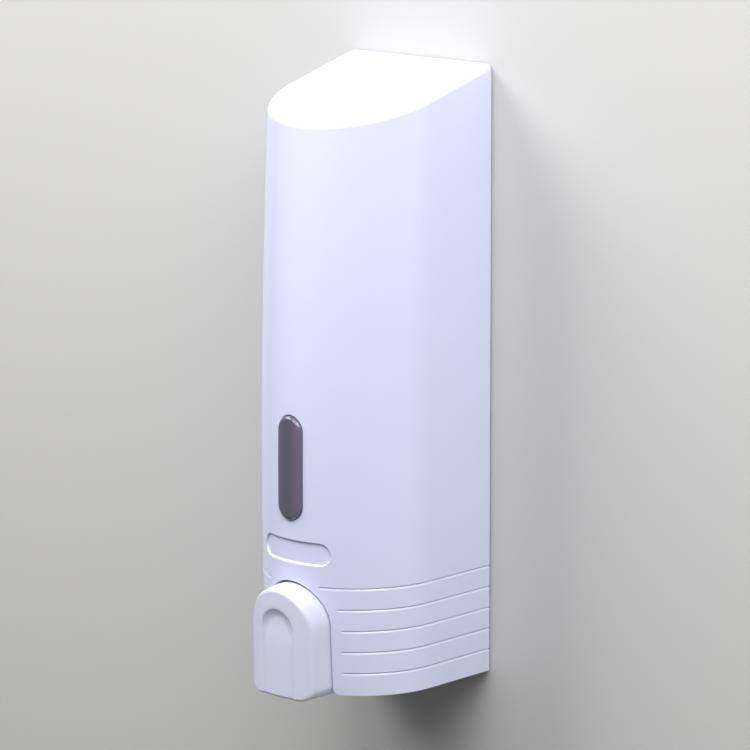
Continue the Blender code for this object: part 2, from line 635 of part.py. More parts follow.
def refill_lid():
    plate_back = HINGE_DEPTH + EAR_RADIUS + GAP
    heights = (LID_FOOT, LID_FOOT + LID)
    lid = box("refill_lid", (-LID_HALF, LID_HALF), (plate_back, LID_FRONT), heights, NATURAL)
    join(lid, box("lid_tab", (-7 * MM, 7 * MM), (LID_FRONT - MM, LID_FRONT + 4 * MM), heights))
    knuckle = rod("lid_knuckle", KNUCKLE_RADIUS, -KNUCKLE_HALF, KNUCKLE_HALF)
    join(lid, crosswise(knuckle, HINGE_DEPTH, HINGE_HEIGHT))
    tongue = (HINGE_DEPTH, plate_back + MM)
    join(lid, box("lid_tongue", (-KNUCKLE_HALF, KNUCKLE_HALF), tongue, heights))
    bore = rod("lid_bore", HINGE_PIN + GAP, -KNUCKLE_HALF - CLEAR, KNUCKLE_HALF + CLEAR, None, 20)
    return cut(lid, crosswise(bore, HINGE_DEPTH, HINGE_HEIGHT))


def lid_seal():
    """A flat frame under the lid, around the tank's mouth."""
    heights = (TANK_TOP + GAP, LID_FOOT - GAP)
    wide, narrow = 3 * MM, 1 * MM
    half, back, front = MOUTH_HALF + wide, MOUTH_BACK - wide, MOUTH_FRONT + wide
    seal = box("lid_seal", (-half, half), (back, front), heights, SILICONE)
    reach = (heights[0] - CLEAR, heights[1] + CLEAR)
    half, back, front = MOUTH_HALF + narrow, MOUTH_BACK - narrow, MOUTH_FRONT + narrow
    return cut(seal, box("seal_cutter", (-half, half), (back, front), reach))


def lid_hinge_pin():
    pin = rod("lid_hinge_pin", HINGE_PIN, -EAR_OUT, EAR_OUT, STEEL, 20)
    return crosswise(pin, HINGE_DEPTH, HINGE_HEIGHT)


def reservoir_clip(name, side):
    """An angle over the tank's rear top edge, screwed to a boss of the wall plate."""
    foot = TANK_TOP + GAP
    outline = [(CLIP_BACK, foot), (CLIP_FRONT, foot), (CLIP_FRONT, foot + CLIP)]
    outline += [(CLIP_BACK + CLIP, foot + CLIP), (CLIP_BACK + CLIP, CLIP_TOP), (CLIP_BACK, CLIP_TOP)]
    clip = prism_x(name, outline, sorted((side * CLIP_IN, side * CLIP_OUT)), GREY_PLASTIC)
    hole = rod(name + "_bore", SCREW_BORE, CLIP_BACK - CLEAR, CLIP_BACK + CLIP + CLEAR, None, 20)
    return cut(clip, facing(hole, side * (CLIP_IN + CLIP_OUT) / 2, CLIP_SCREW_HEIGHT))


# The wall plate


def boss_on(plate, x, height, end):
    """Adds a screw boss that stands up to a depth, with a blind hole."""
    join(plate, facing(rod("plate_boss", BOSS, PLATE / 2, end, None, 24), x, height))
    return facing(rod("plate_hole", SCREW_BORE, PLATE + GAP, end + CLEAR, None, 20), x, height)


def side_rail(side):
    """A rail whose lip holds the cover's lugs to the plate."""
    outline = [(RAIL_IN, 0), (RAIL_OUT, 0), (RAIL_OUT, LIP_DEPTH), (LIP_OUT, LIP_DEPTH)]
    outline += [(LIP_OUT, RAIL_DEPTH), (RAIL_IN, RAIL_DEPTH)]
    root = [(x, max(depth, PLATE / 2)) for x, depth in outline]
    heights = (RAIL_FOOT, RAIL_TOP)
    return loft("side_rail", [[(side * x, -depth, up(h)) for x, depth in root] for h in heights])


def gusset(x):
    """A triangular web under the shelf."""
    outline = [(PLATE / 2, SHELF_TOP - 25 * MM), (PLATE / 2, SHELF_TOP - SHELF / 2)]
    outline += [(SHELF_DEPTH - 6 * MM, SHELF_TOP - SHELF / 2), (SHELF_DEPTH - 6 * MM, SHELF_TOP - 6 * MM)]
    return prism_x("gusset", outline, (x - MM, x + MM))


def wall_plate():
    plate = box("wall_plate", (-PLATE_HALF, PLATE_HALF), (0, PLATE), (0, PLATE_TOP), PLATE_WHITE)
    shelf_heights = (SHELF_TOP - SHELF, SHELF_TOP)
    join(plate, box("shelf", (-SHELF_HALF, SHELF_HALF), (PLATE / 2, SHELF_DEPTH), shelf_heights))
    notch = rod("shelf_notch", 13 * MM, SHELF_TOP - 2 * SHELF, SHELF_TOP + CLEAR)
    way = (PORT_DEPTH, SHELF_DEPTH + CLEAR)
    tall = (SHELF_TOP - 2 * SHELF, SHELF_TOP + CLEAR)
    cut(plate, upright(notch, 0, PORT_DEPTH), box("shelf_way", (-13 * MM, 13 * MM), way, tall))
    holes = []
    for side in (-1, 1):
        join(plate, side_rail(side), gusset(side * (SHELF_HALF - 2 * MM)))
        x = sorted((side * (RAIL_OUT - MM), side * LIP_OUT))
        stop = (RAIL_FOOT, LUG_FOOT - GAP)
        join(plate, box("cover_stop", x, (PLATE / 2, RAIL_DEPTH - MM), stop))
        clip_x = side * (CLIP_IN + CLIP_OUT) / 2
        holes.append(boss_on(plate, clip_x, CLIP_SCREW_HEIGHT, CLIP_BACK - GAP))
        holes.append(boss_on(plate, side * PUMP_SCREW_X, PUMP_HEIGHT, FOOT_DEPTH - GAP))
        reach = (-CLEAR, PLATE + CLEAR)
        round_part = rod("keyhole_round", KEYHOLE_RADIUS, *reach, None, 24)
        holes.append(facing(round_part, side * KEYHOLE_X, KEYHOLE_HEIGHT))
        top = KEYHOLE_HEIGHT + KEYHOLE_RADIUS + 8 * MM
        slot = [(side * KEYHOLE_X + dx, h) for dx, h in stadium(KEYHOLE_SLOT, KEYHOLE_HEIGHT, top)]
        holes.append(prism_y("keyhole_slot", slot, reach))
        lower = rod("screw_hole", SCREW_HOLE_RADIUS, *reach, None, 24)
        holes.append(facing(lower, side * KEYHOLE_X, SCREW_HOLE_HEIGHT))
    return cut(plate, *holes)


def build():
    clear_scene()
    wall_plate()
    reservoir()
    lid_hinge_pin()
    pump_body()
    gland_cap()
    rod_wiper()
    return_spring()
    union_nut()
    outlet_gasket()
    inlet_valve()
    outlet_valve()
    nozzle()
    for side, word in ((-1, "left"), (1, "right")):
        clip_x = side * (CLIP_IN + CLIP_OUT) / 2
        reservoir_clip("reservoir_clip_" + word, side)
        under = CLIP_BACK + CLIP + GAP
        screw("clip_screw_" + word, clip_x, CLIP_SCREW_HEIGHT, under, 6 * MM)
        under = FOOT_DEPTH + FOOT + GAP
        screw("pump_screw_" + word, side * PUMP_SCREW_X, PUMP_HEIGHT, under, 12 * MM)
    hang("cover_joint", (0, -PLATE, up(0)), front_cover(), window_lens())
    moving = (push_button(), plunger(), piston_seal(), button_pin())
    hang("button_joint", (0, -BUTTON_BACK, up(PUMP_HEIGHT)), *moving)
    hang("lid_joint", (0, -HINGE_DEPTH, up(HINGE_HEIGHT)), refill_lid(), lid_seal())


build()
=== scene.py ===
"""The looks of a wall mounted soap dispenser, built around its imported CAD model.

Shapes are worked out in millimetres: x to the right, depth out from the wall, and height up
from the cover's bottom edge. place() turns them into the frame's metres.
"""

import json
from math import atan, cos, pi, radians, sin, sqrt, tan

import bmesh
import bpy
import numpy as np
from mathutils import Matrix, Vector
from mathutils.geometry import delaunay_2d_cdt

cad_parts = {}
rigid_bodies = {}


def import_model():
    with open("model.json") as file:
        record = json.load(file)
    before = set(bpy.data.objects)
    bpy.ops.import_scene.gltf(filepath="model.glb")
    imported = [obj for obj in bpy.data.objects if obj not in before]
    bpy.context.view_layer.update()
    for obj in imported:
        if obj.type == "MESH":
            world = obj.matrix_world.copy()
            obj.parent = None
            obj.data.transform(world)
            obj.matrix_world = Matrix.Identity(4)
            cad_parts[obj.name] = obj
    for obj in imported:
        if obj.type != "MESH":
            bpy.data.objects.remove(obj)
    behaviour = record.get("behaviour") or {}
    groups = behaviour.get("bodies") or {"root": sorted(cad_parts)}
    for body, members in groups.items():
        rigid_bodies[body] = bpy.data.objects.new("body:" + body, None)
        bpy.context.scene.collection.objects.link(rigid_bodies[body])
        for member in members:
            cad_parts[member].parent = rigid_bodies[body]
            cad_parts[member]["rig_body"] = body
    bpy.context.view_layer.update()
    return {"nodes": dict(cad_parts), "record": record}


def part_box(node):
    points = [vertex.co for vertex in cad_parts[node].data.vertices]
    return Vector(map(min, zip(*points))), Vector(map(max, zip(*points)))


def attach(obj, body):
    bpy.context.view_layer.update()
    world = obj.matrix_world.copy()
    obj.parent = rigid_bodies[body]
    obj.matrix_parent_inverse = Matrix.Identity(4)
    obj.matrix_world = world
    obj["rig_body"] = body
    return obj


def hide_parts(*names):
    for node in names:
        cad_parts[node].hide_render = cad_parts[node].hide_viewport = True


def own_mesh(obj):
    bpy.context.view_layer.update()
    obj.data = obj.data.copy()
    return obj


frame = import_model()

MM = 0.001


def extent(node):
    """The lowest and highest corners of a CAD node, in millimetres of the frame."""
    low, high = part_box(node)
    return low / MM, high / MM


PLATE_LOW, PLATE_HIGH = extent("wall_plate")
COVER_HIGH = extent("front_cover")[1]
BUTTON_LOW, BUTTON_HIGH = extent("push_button")
FLOOR_Z = PLATE_LOW.z

# The cover's outer shape, as in the CAD model.
HEIGHT = -2 * FLOOR_Z  # the frame's origin is half way up
HALF = COVER_HIGH.x
REAR = -COVER_HIGH.y
SIDE_DEPTH = 32.5
FRONT_DEPTH = 67.3
FRONT_CURVE = (0.2173, -0.3632, 0.0640)
TOP_SLOPE = tan(radians(16.0))
TOP_FILLET = 2.0
WALL = 2.2

# What is cut into the cover.
OPENING_HALF, OPENING_SPRING, OPENING_CORNER = 15.5, 25.5, 2.6
OPENING_EDGE = 0.25
WINDOW_HALF, WINDOW_FOOT, WINDOW_TOP, WINDOW_EDGE = 5.8, 63.5, 102.0, 0.4
WINDOW_LOW, WINDOW_HIGH = WINDOW_FOOT + WINDOW_HALF, WINDOW_TOP - WINDOW_HALF  # its ends' middles
LABEL_HALF, LABEL_RADIUS, LABEL_HEIGHT, LABEL_DEPTH = 16.0, 4.1, 52.2, 0.75
LABEL_UPPER, LABEL_LOWER = 0.16, 0.34  # half the width of the recess's wall
GROOVES, GROOVE_TOP, GROOVE_PITCH = 5, 40.1, 7.9
GROOVE_MARGIN, GROOVE_UPPER, GROOVE_LOWER, GROOVE_DEPTH = 3.3, 0.2, 0.9, 0.42
GROOVE_SHARES, GROOVE_LIP = (0.2, 0.5, 0.75, 1.0), 0.07
REAR_EDGE = 0.4
STEEP = 50.0  # how fast a rounded edge falls away just outside the part
LEG_FOOT = -100.0  # how far down an arch's legs run, well below the part

# The button.
RIDGE_HALF, RIDGE_SPRING = 14.9, 24.1
BUTTON_FOOT = BUTTON_LOW.z - FLOOR_Z
BUTTON_BACK = -BUTTON_HIGH.y
BUTTON_FRONT = -BUTTON_LOW.y
BUTTON_CROWN, BUTTON_EDGE, BUTTON_CORNER, BUTTON_BOW, BUTTON_LEAN = 3.2, 1.3, 4.5, 0.2, 0.15
THUMB_HALF, THUMB_SPRING = 8.0, 24.0
THUMB_LIP, THUMB_REACH, THUMB_SIDE, THUMB_SHALLOW, THUMB_DEEP = 0.25, 3.6, 1.2, 0.9, 1.3
BUTTON_HALF, BUTTON_RISE, BUTTON_SHOULDER, BUTTON_WALL, BUTTON_MIDDLE = 15.0, 1.2, 69.0, 2.0, 19.0
BOSS_BACK, BOSS_END, PUMP_HEIGHT, BUTTON_TRAVEL = 63.0, 73.2, 24.0, 8.0

# The lens and the cover's lugs.
LENS_GAP, LENS_PROUD, LENS_EDGE = 0.15, 1.4, 1.5
LUG_IN, LUG_DEPTHS, LUG_FEET, LUG_TALL = 31.0, (2.8, 5.2), (12.3, 165.0), 20.0

# The pieces inside.
GAP = 0.3
PLATE, PLATE_HALF, PLATE_TOP = 1.5, PLATE_HIGH.x, PLATE_HIGH.z - FLOOR_Z
RAIL_IN, RAIL_OUT, LIP_OUT, LIP_DEPTH, RAIL_DEPTH = 28.6, 30.2, 32.2, 5.6, 7.2
RAIL_FOOT, RAIL_TOP, STOP_TOP = 8.0, 200.0, 12.0
SHELF_HALF, SHELF_DEPTH, SHELF_TOP, SHELF = 26.0, 44.0, 51.7, 2.5
KEYHOLE_X, KEYHOLE_HEIGHT, KEYHOLE_RADIUS, KEYHOLE_SLOT = 18.0, 192.0, 4.5, 2.4
SCREW_HOLE_HEIGHT, SCREW_HOLE = 10.0, 3.2
UPRIGHT_RIB, RIB_SPAN, CROSS_RIBS, RIB_HALF = 9.0, (58.0, 186.0), (75.0, 110.0, 145.0), 0.6
BACK_PANEL, PANEL_DEPTH, PANEL_HEIGHTS = 26.0, 0.35, ((20.0, 100.0), (108.0, 180.0))
TANK_HALF, TANK_BACK, TANK_FRONT, TANK_FOOT, TANK_TOP = 30.5, 8.0, 59.0, 52.0, 168.0
TANK_WALL, TANK_ROUND = 1.5, 4.0
MOUTH_HALF, MOUTH_BACK, MOUTH_FRONT = 16.5, 22.5, 49.0
SEAL, SEAL_MARGIN, SEAL_CORNER = 2.0, 3.0, 4.0
NECK_RADIUS, NECK_BORE, NECK_FOOT = 7.5, 5.0, 44.0
LID_HALF, LID_FRONT, LID_FOOT, LID = 21.0, 53.0, 169.6, 2.0
LID_PANEL, LID_BORDER, TAB_HALF, TAB, TAB_RIDGES, RIDGE_PITCH = 16.0, 5.0, 7.0, 4.0, 3, 1.1
HINGE_DEPTH, HINGE_HEIGHT, HINGE_PIN = 15.5, 171.5, 1.2
KNUCKLE_RADIUS, KNUCKLE_HALF = 2.6, 17.0
EAR_IN, EAR_OUT, EAR_RADIUS = 17.4, 20.5, 2.2
CLIP_IN, CLIP_OUT, CLIP, CLIP_BACK, CLIP_FRONT, CLIP_TOP = 22.2, 28.2, 1.4, 6.8, 13.0, 182.0
CLIP_X, CLIP_SCREW_HEIGHT = (CLIP_IN + CLIP_OUT) / 2, 177.0
CLIP_SCREW, PUMP_SCREW = 6, 12  # the screws' lengths
PUMP_RADIUS, PUMP_BORE, PUMP_BACK, PUMP_MOUTH, RIB = 9.5, 8.0, 20.0, 50.0, 0.8
PORT_DEPTH, PORT_RADIUS = 25.0, 2.0
SOCKET_RADIUS, SOCKET_BORE, SOCKET_TOP, SOCKET_FLOOR = 7.5, 5.0, 42.0, 33.5
COLLAR_RADIUS, COLLAR, SPIGOT_RADIUS, SPIGOT_FOOT = 9.5, 2.0, 5.5, 10.0
FOOT_HALF, FOOT_TALL, FOOT_DEPTH, FOOT, PUMP_SCREW_X = 20.0, 12.0, 17.0, 3.4, 15.0
BOSSES = ((CLIP_X, CLIP_SCREW_HEIGHT, CLIP_BACK), (PUMP_SCREW_X, PUMP_HEIGHT, FOOT_DEPTH))
GLAND_SKIRT, GLAND_FACE, ROD_RADIUS = 44.3, 52.5, 3.0
BOSS_RADIUS, BOSS_FRONT, SHOULDER_BACK, PIN_RADIUS, PIN_DEPTH = 6.0, 74.0, 61.0, 1.0, 67.0
PISTON_DEPTH, PISTON_RADIUS, PISTON = 36.0, 7.4, 4.0
SPRING_RADIUS, SPRING_WIRE, SPRING_TURNS = 5.8, 0.45, 4.5
BALL_RADIUS, BALL_HEIGHT, SEAT_HEIGHTS, NUT_HEIGHTS = 2.5, 37.4, (40.8, 41.9), (37.7, 50.0)
SEAT_WIDE, SEAT_NARROW = 2.3, 1.8
GASKET_BORE, GASKET_RADIUS, NUT_RADIUS, NOTCH = 4.5, 7.2, 12.0, 13.0
NOZZLE_FOOT, NOZZLE_TOP, NOZZLE_BORE, NOZZLE_TUBE = 2.0, 14.0, 3.1, 4.2
HEAD, HEAD_HEIGHT, SHANK, SCREW_BORE, THREAD, BOSS = 3.0, 1.8, 1.4, 1.75, 0.8, 3.5

# Sharper edges than these, in degrees, are shaded as edges, or rounded.
SHARP_ANGLE, JOINED_ANGLE, BEVEL_ANGLE = 35.0, 30.0, 30.0
# Boolean results lose shorter edges than the first, and slivers thinner than the second.
SHORT_EDGE, SLIVER = 0.022, 0.01
CORNER_STEPS = 4  # strips round a turned piece's corner
SLOPE_STEP = 0.01  # how far apart a skin's slopes are taken

# The stage, in metres except for the wall's gap.
STAGE_HALF, STAGE_FLOOR, WALL_TOP = 3.0, -1.2, 2.0
WALL_GAP = 0.3
WALL_COLOR, FLOOR_COLOR = (0.60, 0.595, 0.585), (0.72, 0.72, 0.71)


def place(x, depth, height):
    """A spot in the frame's metres."""
    return Vector((x, -depth, height + FLOOR_Z)) * MM


# Meshes


def new_object(name, verts, faces):
    """An object from points in metres, shaded smooth except at its sharper edges."""
    mesh = bpy.data.meshes.new(name)
    mesh.from_pydata([tuple(v) for v in verts], [], [tuple(int(i) for i in f) for f in faces])
    mesh.validate()
    mesh.shade_smooth()
    mesh.set_sharp_from_angle(angle=radians(SHARP_ANGLE))
    made = bpy.data.objects.new(name, mesh)
    bpy.context.scene.collection.objects.link(made)
    return made


def edit(made, change):
    """Changes an object's mesh by a function of its bmesh."""
    bm = bmesh.new()
    bm.from_mesh(made.data)
    change(bm)
    bm.to_mesh(made.data)
    bm.free()
    return made


def outward(made):
    """Turns a closed mesh's faces outward."""
    return edit(made, lambda bm: bmesh.ops.recalc_face_normals(bm, faces=bm.faces))


def loft(name, loops, ring=False):
    """Skins closed loops of (x, depth, height) points and caps both ends, or joins them to a ring."""
    count, total = len(loops[0]), len(loops)
    verts = [place(*point) for loop in loops for point in loop]
    faces = [] if ring else [list(range(count))[::-1]]
    for row in range(total if ring else total - 1):
        low, high = row * count, (row + 1) % total * count
        for i in range(count):
            j = (i + 1) % count
            faces.append([low + i, low + j, high + j, high + i])
    if not ring:
        faces.append([(total - 1) * count + i for i in range(count)])
    return outward(new_object(name, verts, faces))


def rounded(profile, radius):
    """A closed outline of (radius, z) points with its corners rounded, except on the axis."""
    out = []
    count = len(profile)
    for i, here in enumerate(profile):
        before, after = np.array(profile[i - 1]), np.array(profile[(i + 1) % count])
        here = np.array(here, float)
        to_before, to_after = before - here, after - here
        room = min(np.linalg.norm(to_before), np.linalg.norm(to_after)) * 0.45
        reach = min(radius, room)
        if here[0] <= 0 or reach <= 0:
            out.append(tuple(here))
            continue
        start = here + to_before / np.linalg.norm(to_before) * reach
        end = here + to_after / np.linalg.norm(to_after) * reach
        for k in range(CORNER_STEPS + 1):
            t = k / CORNER_STEPS
            point = (1 - t) ** 2 * start + 2 * t * (1 - t) * here + t * t * end
            out.append((max(point[0], 0.0), point[1]))
    return out


def turned(name, profile, edge, segments=72, *, at, ribs=0, rib_depth=0.0, rib_from=0.0):
    """Turns an outline about local Z and places it; ribs run along its parts beyond rib_from."""
    outline = rounded(profile, edge) if edge else profile
    if ribs:
        segments = ribs * 8
    verts, rings, faces = [], [], []
    for radius, z in outline:
        ring = []
        for k in range(segments if radius > 1e-6 else 1):
            angle = 2 * pi * k / segments
            r = radius
            if ribs and radius >= rib_from:
                r -= rib_depth * (0.5 - 0.5 * cos(ribs * angle)) ** 2
            ring.append(len(verts))
            verts.append(Vector((r * cos(angle), r * sin(angle), z)) * MM)
        rings.append(ring)
    for low, high in zip(rings, rings[1:] + rings[:1]):
        if len(low) == len(high) == 1:
            continue
        if len(low) != len(high) and abs(verts[low[0]].z - verts[high[0]].z) < 1e-9:
            faces.append(max(low, high, key=len))
            continue
        for k in range(segments):
            n = (k + 1) % segments
            quad = (low[k % len(low)], low[n % len(low)], high[n % len(high)], high[k % len(high)])
            faces.append(list(dict.fromkeys(quad)))
    made = outward(new_object(name, verts, faces))
    made.data.transform(at)
    return made


def rod(name, radius, low, high, at, edge, segments=72):
    """A solid round bar between two places along its axis."""
    outline = [(0, low), (radius, low), (radius, high), (0, high)]
    return turned(name, outline, edge, segments, at=at)


def ring(name, inner, outer, low, high, at, edge, segments=72):
    """A turned ring between two radii and two places along its axis."""
    outline = [(inner, low), (outer, low), (outer, high), (inner, high)]
    return turned(name, outline, edge, segments, at=at)


def upright(x, depth, height=0.0):
    """Stands a turned piece up; its local z adds to the height."""
    return Matrix.Translation(place(x, depth, height))


def facing(x, height):
    """Lays a turned piece along -Y; its local z is the depth from the wall."""
    return Matrix.Translation(place(x, 0, height)) @ Matrix.Rotation(radians(90), 4, "X")


def crosswise(depth, height):
    """Lays a turned piece along X."""
    return Matrix.Translation(place(0, depth, height)) @ Matrix.Rotation(radians(90), 4, "Y")


PUMP_AXIS = facing(0, PUMP_HEIGHT)
PORT_AXIS = upright(0, PORT_DEPTH)
HINGE_AXIS = crosswise(HINGE_DEPTH, HINGE_HEIGHT)
PIN_AXIS = crosswise(PIN_DEPTH, PUMP_HEIGHT)


def box(name, x, depth, height, edge):
    """A block with rounded edges between two x values, two depths and two heights."""
    corners = ((0, 0), (1, 0), (1, 1), (0, 1))
    return soften(loft(name, [[(x[i], depth[j], h) for i, j in corners] for h in height]), edge)


def prism_x(name, outline, x, edge):
    """An outline of (depth, height) points run between two x values."""
    return soften(loft(name, [[(side, d, h) for d, h in outline] for side in x]), edge)


def soften(made, width):
    """Rounds a mesh's sharp edges, unless the width is nought."""
    if width:
        modifier = made.modifiers.new("soften", "BEVEL")
        modifier.width = width * MM
        modifier.segments = 3
        modifier.limit_method = "ANGLE"
        modifier.angle_limit = radians(BEVEL_ANGLE)
        modifier.harden_normals = True
        apply_modifiers(made)
    return made


def apply_modifiers(made):
    graph = bpy.context.evaluated_depsgraph_get()
    mesh = bpy.data.meshes.new_from_object(made.evaluated_get(graph))
    old = made.data
    made.modifiers.clear()
    made.data = mesh
    mesh.name = made.name
    bpy.data.meshes.remove(old)


def close_up(bm):
    """Merges the very short edges that a boolean leaves and fills small holes."""
    bmesh.ops.remove_doubles(bm, verts=bm.verts, dist=SHORT_EDGE * MM)
    bmesh.ops.dissolve_degenerate(bm, edges=bm.edges, dist=SLIVER * MM)
    bmesh.ops.holes_fill(bm, edges=bm.edges, sides=8)


def boolean(target, operation, *others):
    """Joins other pieces to a piece, or cuts them from it, and removes them."""
    for other in others:
        modifier = target.modifiers.new("shape", "BOOLEAN")
        modifier.operation = operation
        modifier.object = other
    apply_modifiers(target)
    for other in others:
        bpy.data.objects.remove(other, do_unlink=True)
    edit(target, close_up)
    target.data.shade_smooth()
    target.data.set_sharp_from_angle(angle=radians(JOINED_ANGLE))
    return target


# Skins: a flat domain cut into triangles, then bent into shape


def triangulate(points, lines, keep):
    """Triangles through points and along lines, where keep says that a spot is inside."""
    spots, edges = [], []
    for line in lines:
        start = len(spots)
        spots += list(line)
        edges += [(start + i, start + i + 1) for i in range(len(line) - 1)]
    spots += list(points)
    result = delaunay_2d_cdt([Vector(spot) for spot in spots], edges, [], 0, 1e-4)
    flat = np.array([tuple(v) for v in result[0]])
    triangles = np.array(result[2])
    middle = flat[triangles].mean(1)
    triangles = triangles[keep(middle[:, 0], middle[:, 1])]
    a, b, c = (flat[triangles[:, i]] for i in range(3))
    area = (b[:, 0] - a[:, 0]) * (c[:, 1] - a[:, 1]) - (b[:, 1] - a[:, 1]) * (c[:, 0] - a[:, 0])
    triangles[area < 0] = triangles[area < 0][:, ::-1]
    triangles = triangles[np.abs(area) > 1e-9]
    used = np.unique(triangles)
    order = np.full(len(flat), -1)
    order[used] = np.arange(len(used))
    return flat[used], order[triangles]


def open_edges(triangles):
    """The directed edges that only one triangle has."""
    pairs = np.concatenate([triangles[:, [0, 1]], triangles[:, [1, 2]], triangles[:, [2, 0]]])
    there = {tuple(p) for p in pairs.tolist()}
    return [p for p in there if (p[1], p[0]) not in there]


def surface_normals(shape, flat):
    """Normals of a bent domain, from its slopes."""
    s, v = flat[:, 0], flat[:, 1]
    across = shape(s + SLOPE_STEP, v) - shape(s - SLOPE_STEP, v)
    along = shape(s, v + SLOPE_STEP) - shape(s, v - SLOPE_STEP)
    normal = np.cross(across, along)
    return normal / np.linalg.norm(normal, axis=1)[:, None]


def to_frame(points):
    """Rows of (x, depth, height) as the frame's metres."""
    return np.stack([points[:, 0], -points[:, 1], points[:, 2] + FLOOR_Z], 1) * MM


def skin_piece(name, shape, flat, skin, points, faces, others=()):
    """A closed piece whose first faces are a bent skin, which gets its exact normals.

    Points are (x, depth, height) rows; others are closed objects that join its mesh."""
    verts = to_frame(points).tolist()
    faces = [list(face) for face in faces]
    for other in others:
        base = len(verts)
        verts += [tuple(v.co) for v in other.data.vertices]
        faces += [[base + i for i in polygon.vertices] for polygon in other.data.polygons]
        bpy.data.objects.remove(other, do_unlink=True)
    made = outward(new_object(name, verts, faces))
    mesh = made.data
    count = 3 * len(skin)
    corners = np.zeros(len(mesh.loops), int)
    mesh.loops.foreach_get("vertex_index", corners)
    facing_out = np.zeros(3 * len(mesh.polygons))
    mesh.polygons.foreach_get("normal", facing_out)
    facing_out = np.repeat(facing_out.reshape(-1, 3)[: len(skin)], 3, axis=0)
    exact = (surface_normals(shape, flat) * [1, -1, 1])[corners[:count]]
    exact *= np.sign((exact * facing_out).sum(1))[:, None]
    custom = np.zeros((len(mesh.loops), 3))
    custom[:count] = exact
    mesh.normals_split_custom_set(custom.tolist())
    return made


def capsule(px, py, ax, ay, bx, by, radius):
    """How far a point is outside a slot with round ends."""
    dx, dy = bx - ax, by - ay
    t = np.clip(((px - ax) * dx + (py - ay) * dy) / (dx * dx + dy * dy), 0, 1)
    return np.hypot(px - ax - t * dx, py - ay - t * dy) - radius


def arch(x, height, spring, half):
    """How far a spot is outside an arch, round above its spring line, on legs without a foot."""
    return capsule(x, height, 0, LEG_FOOT, 0, spring, half)


def round_corner(side, foot, radius):
    """The smaller of two distances inside an outline, round where both are small."""
    a, b = radius - side, radius - foot
    return np.where((a > 0) & (b > 0), radius - np.hypot(a, b), np.minimum(side, foot))


def edge_round(distance, radius):
    """The drop of a rounded edge at a distance inside it."""
    inside = np.clip(1 - distance / radius, 0, 1)
    return radius * (1 - np.sqrt(1 - inside**2)) + STEEP * np.maximum(-distance, 0)


def sunk(distance, depth, soft):
    """A recess with a soft-edged wall where the distance is nought."""
    t = np.clip(0.5 - distance / (2 * soft), 0, 1)
    return depth * t * t * (3 - 2 * t)


def smooth(value, low, high):
    t = np.clip((value - low) / (high - low), 0, 1)
    return t * t * (3 - 2 * t)


def spaced(start, end, step):
    """Points along a straight line, ends included."""
    start, end = np.array(start, float), np.array(end, float)
    count = max(1, int(np.ceil(np.linalg.norm(end - start) / step)))
    return [tuple(start + (end - start) * k / count) for k in range(count + 1)]


def arc(cx, cy, radius, start, end, step):
    """Points along an arc, angles in degrees, ends included."""
    count = max(2, int(np.ceil(abs(radians(end - start)) * radius / step)))
    angles = [radians(start + (end - start) * k / count) for k in range(count + 1)]
    return [(cx + radius * cos(a), cy + radius * sin(a)) for a in angles]


# The cover


def front_line(height):
    """The depth of the cover's front line."""
    t = height / HEIGHT
    a, b, c = FRONT_CURVE
    return FRONT_DEPTH * (1 + a * t + b * t * t + c * t**3)


def plan_table():
    """Arc length against the angle of the ellipse in plan, from the front line."""
    angle = np.linspace(0, pi / 2, 2001)
    bulge = front_line(HEIGHT / 3) - SIDE_DEPTH
    x, depth = HALF * np.sin(angle), bulge * np.cos(angle)
    length = np.concatenate([[0], np.cumsum(np.hypot(np.diff(x), np.diff(depth)))])
    return angle, length


ANGLES, LENGTHS = plan_table()
CURVE_LENGTH = LENGTHS[-1]
REAR_S = CURVE_LENGTH + SIDE_DEPTH - REAR
STRAIGHT_TOP = 150.0  # below it the domain's v is the height
FILLET_V = HEIGHT
TOP_V = FILLET_V + 4.0


def s_of_x(x):
    angle = np.arcsin(np.clip(np.abs(x) / HALF, 0, 1))
    return np.sign(x) * np.interp(angle, ANGLES, LENGTHS)


def shell_point(s, v, inset, fillet, drop, top_v):
    """A point of the cover's plain shape, moved in by inset; the domain ends at top_v."""
    q = np.abs(s)
    angle = np.interp(q, LENGTHS, ANGLES)
    behind = np.maximum(q - CURVE_LENGTH, 0)
    turn = np.radians(90 * np.clip((v - FILLET_V) / (TOP_V - FILLET_V), 0, 1.2)) * (fillet > 0)
    pull = fillet * (1 - np.cos(turn))
    below = fillet * (1 - np.sin(turn))
    share = np.clip((v - STRAIGHT_TOP) / (top_v - STRAIGHT_TOP), 0, 1)
    height = np.array(v, float)
    for _ in range(6):
        bulge = front_line(height) - SIDE_DEPTH - inset - pull
        depth = SIDE_DEPTH + bulge * np.cos(angle) - behind
        ceiling = HEIGHT - drop - TOP_SLOPE * depth - below
        height = np.where(v > STRAIGHT_TOP, STRAIGHT_TOP + share * (ceiling - STRAIGHT_TOP), v)
    return np.sign(s) * (HALF - inset - pull) * np.sin(angle), depth, height


def opening_distance(x, height):
    """How far a spot is from the button opening or the bottom edge, round at the corner."""
    return round_corner(arch(x, height, OPENING_SPRING, OPENING_HALF), height, OPENING_CORNER)


def window_distance(x, height):
    return capsule(x, height, 0, WINDOW_LOW, 0, WINDOW_HIGH, WINDOW_HALF)


def label_distance(x, height):
    reach = LABEL_HALF - LABEL_RADIUS
    return capsule(x, height, -reach, LABEL_HEIGHT, reach, LABEL_HEIGHT, LABEL_RADIUS)


def groove_end(index):
    """A groove's height and where it ends, as an arc length from the front line."""
    height = GROOVE_TOP - index * GROOVE_PITCH
    rise = max(0.0, height - OPENING_SPRING)
    x = sqrt((OPENING_HALF + GROOVE_MARGIN) ** 2 - rise**2)
    return height, float(s_of_x(x)) + groove_reach(0)


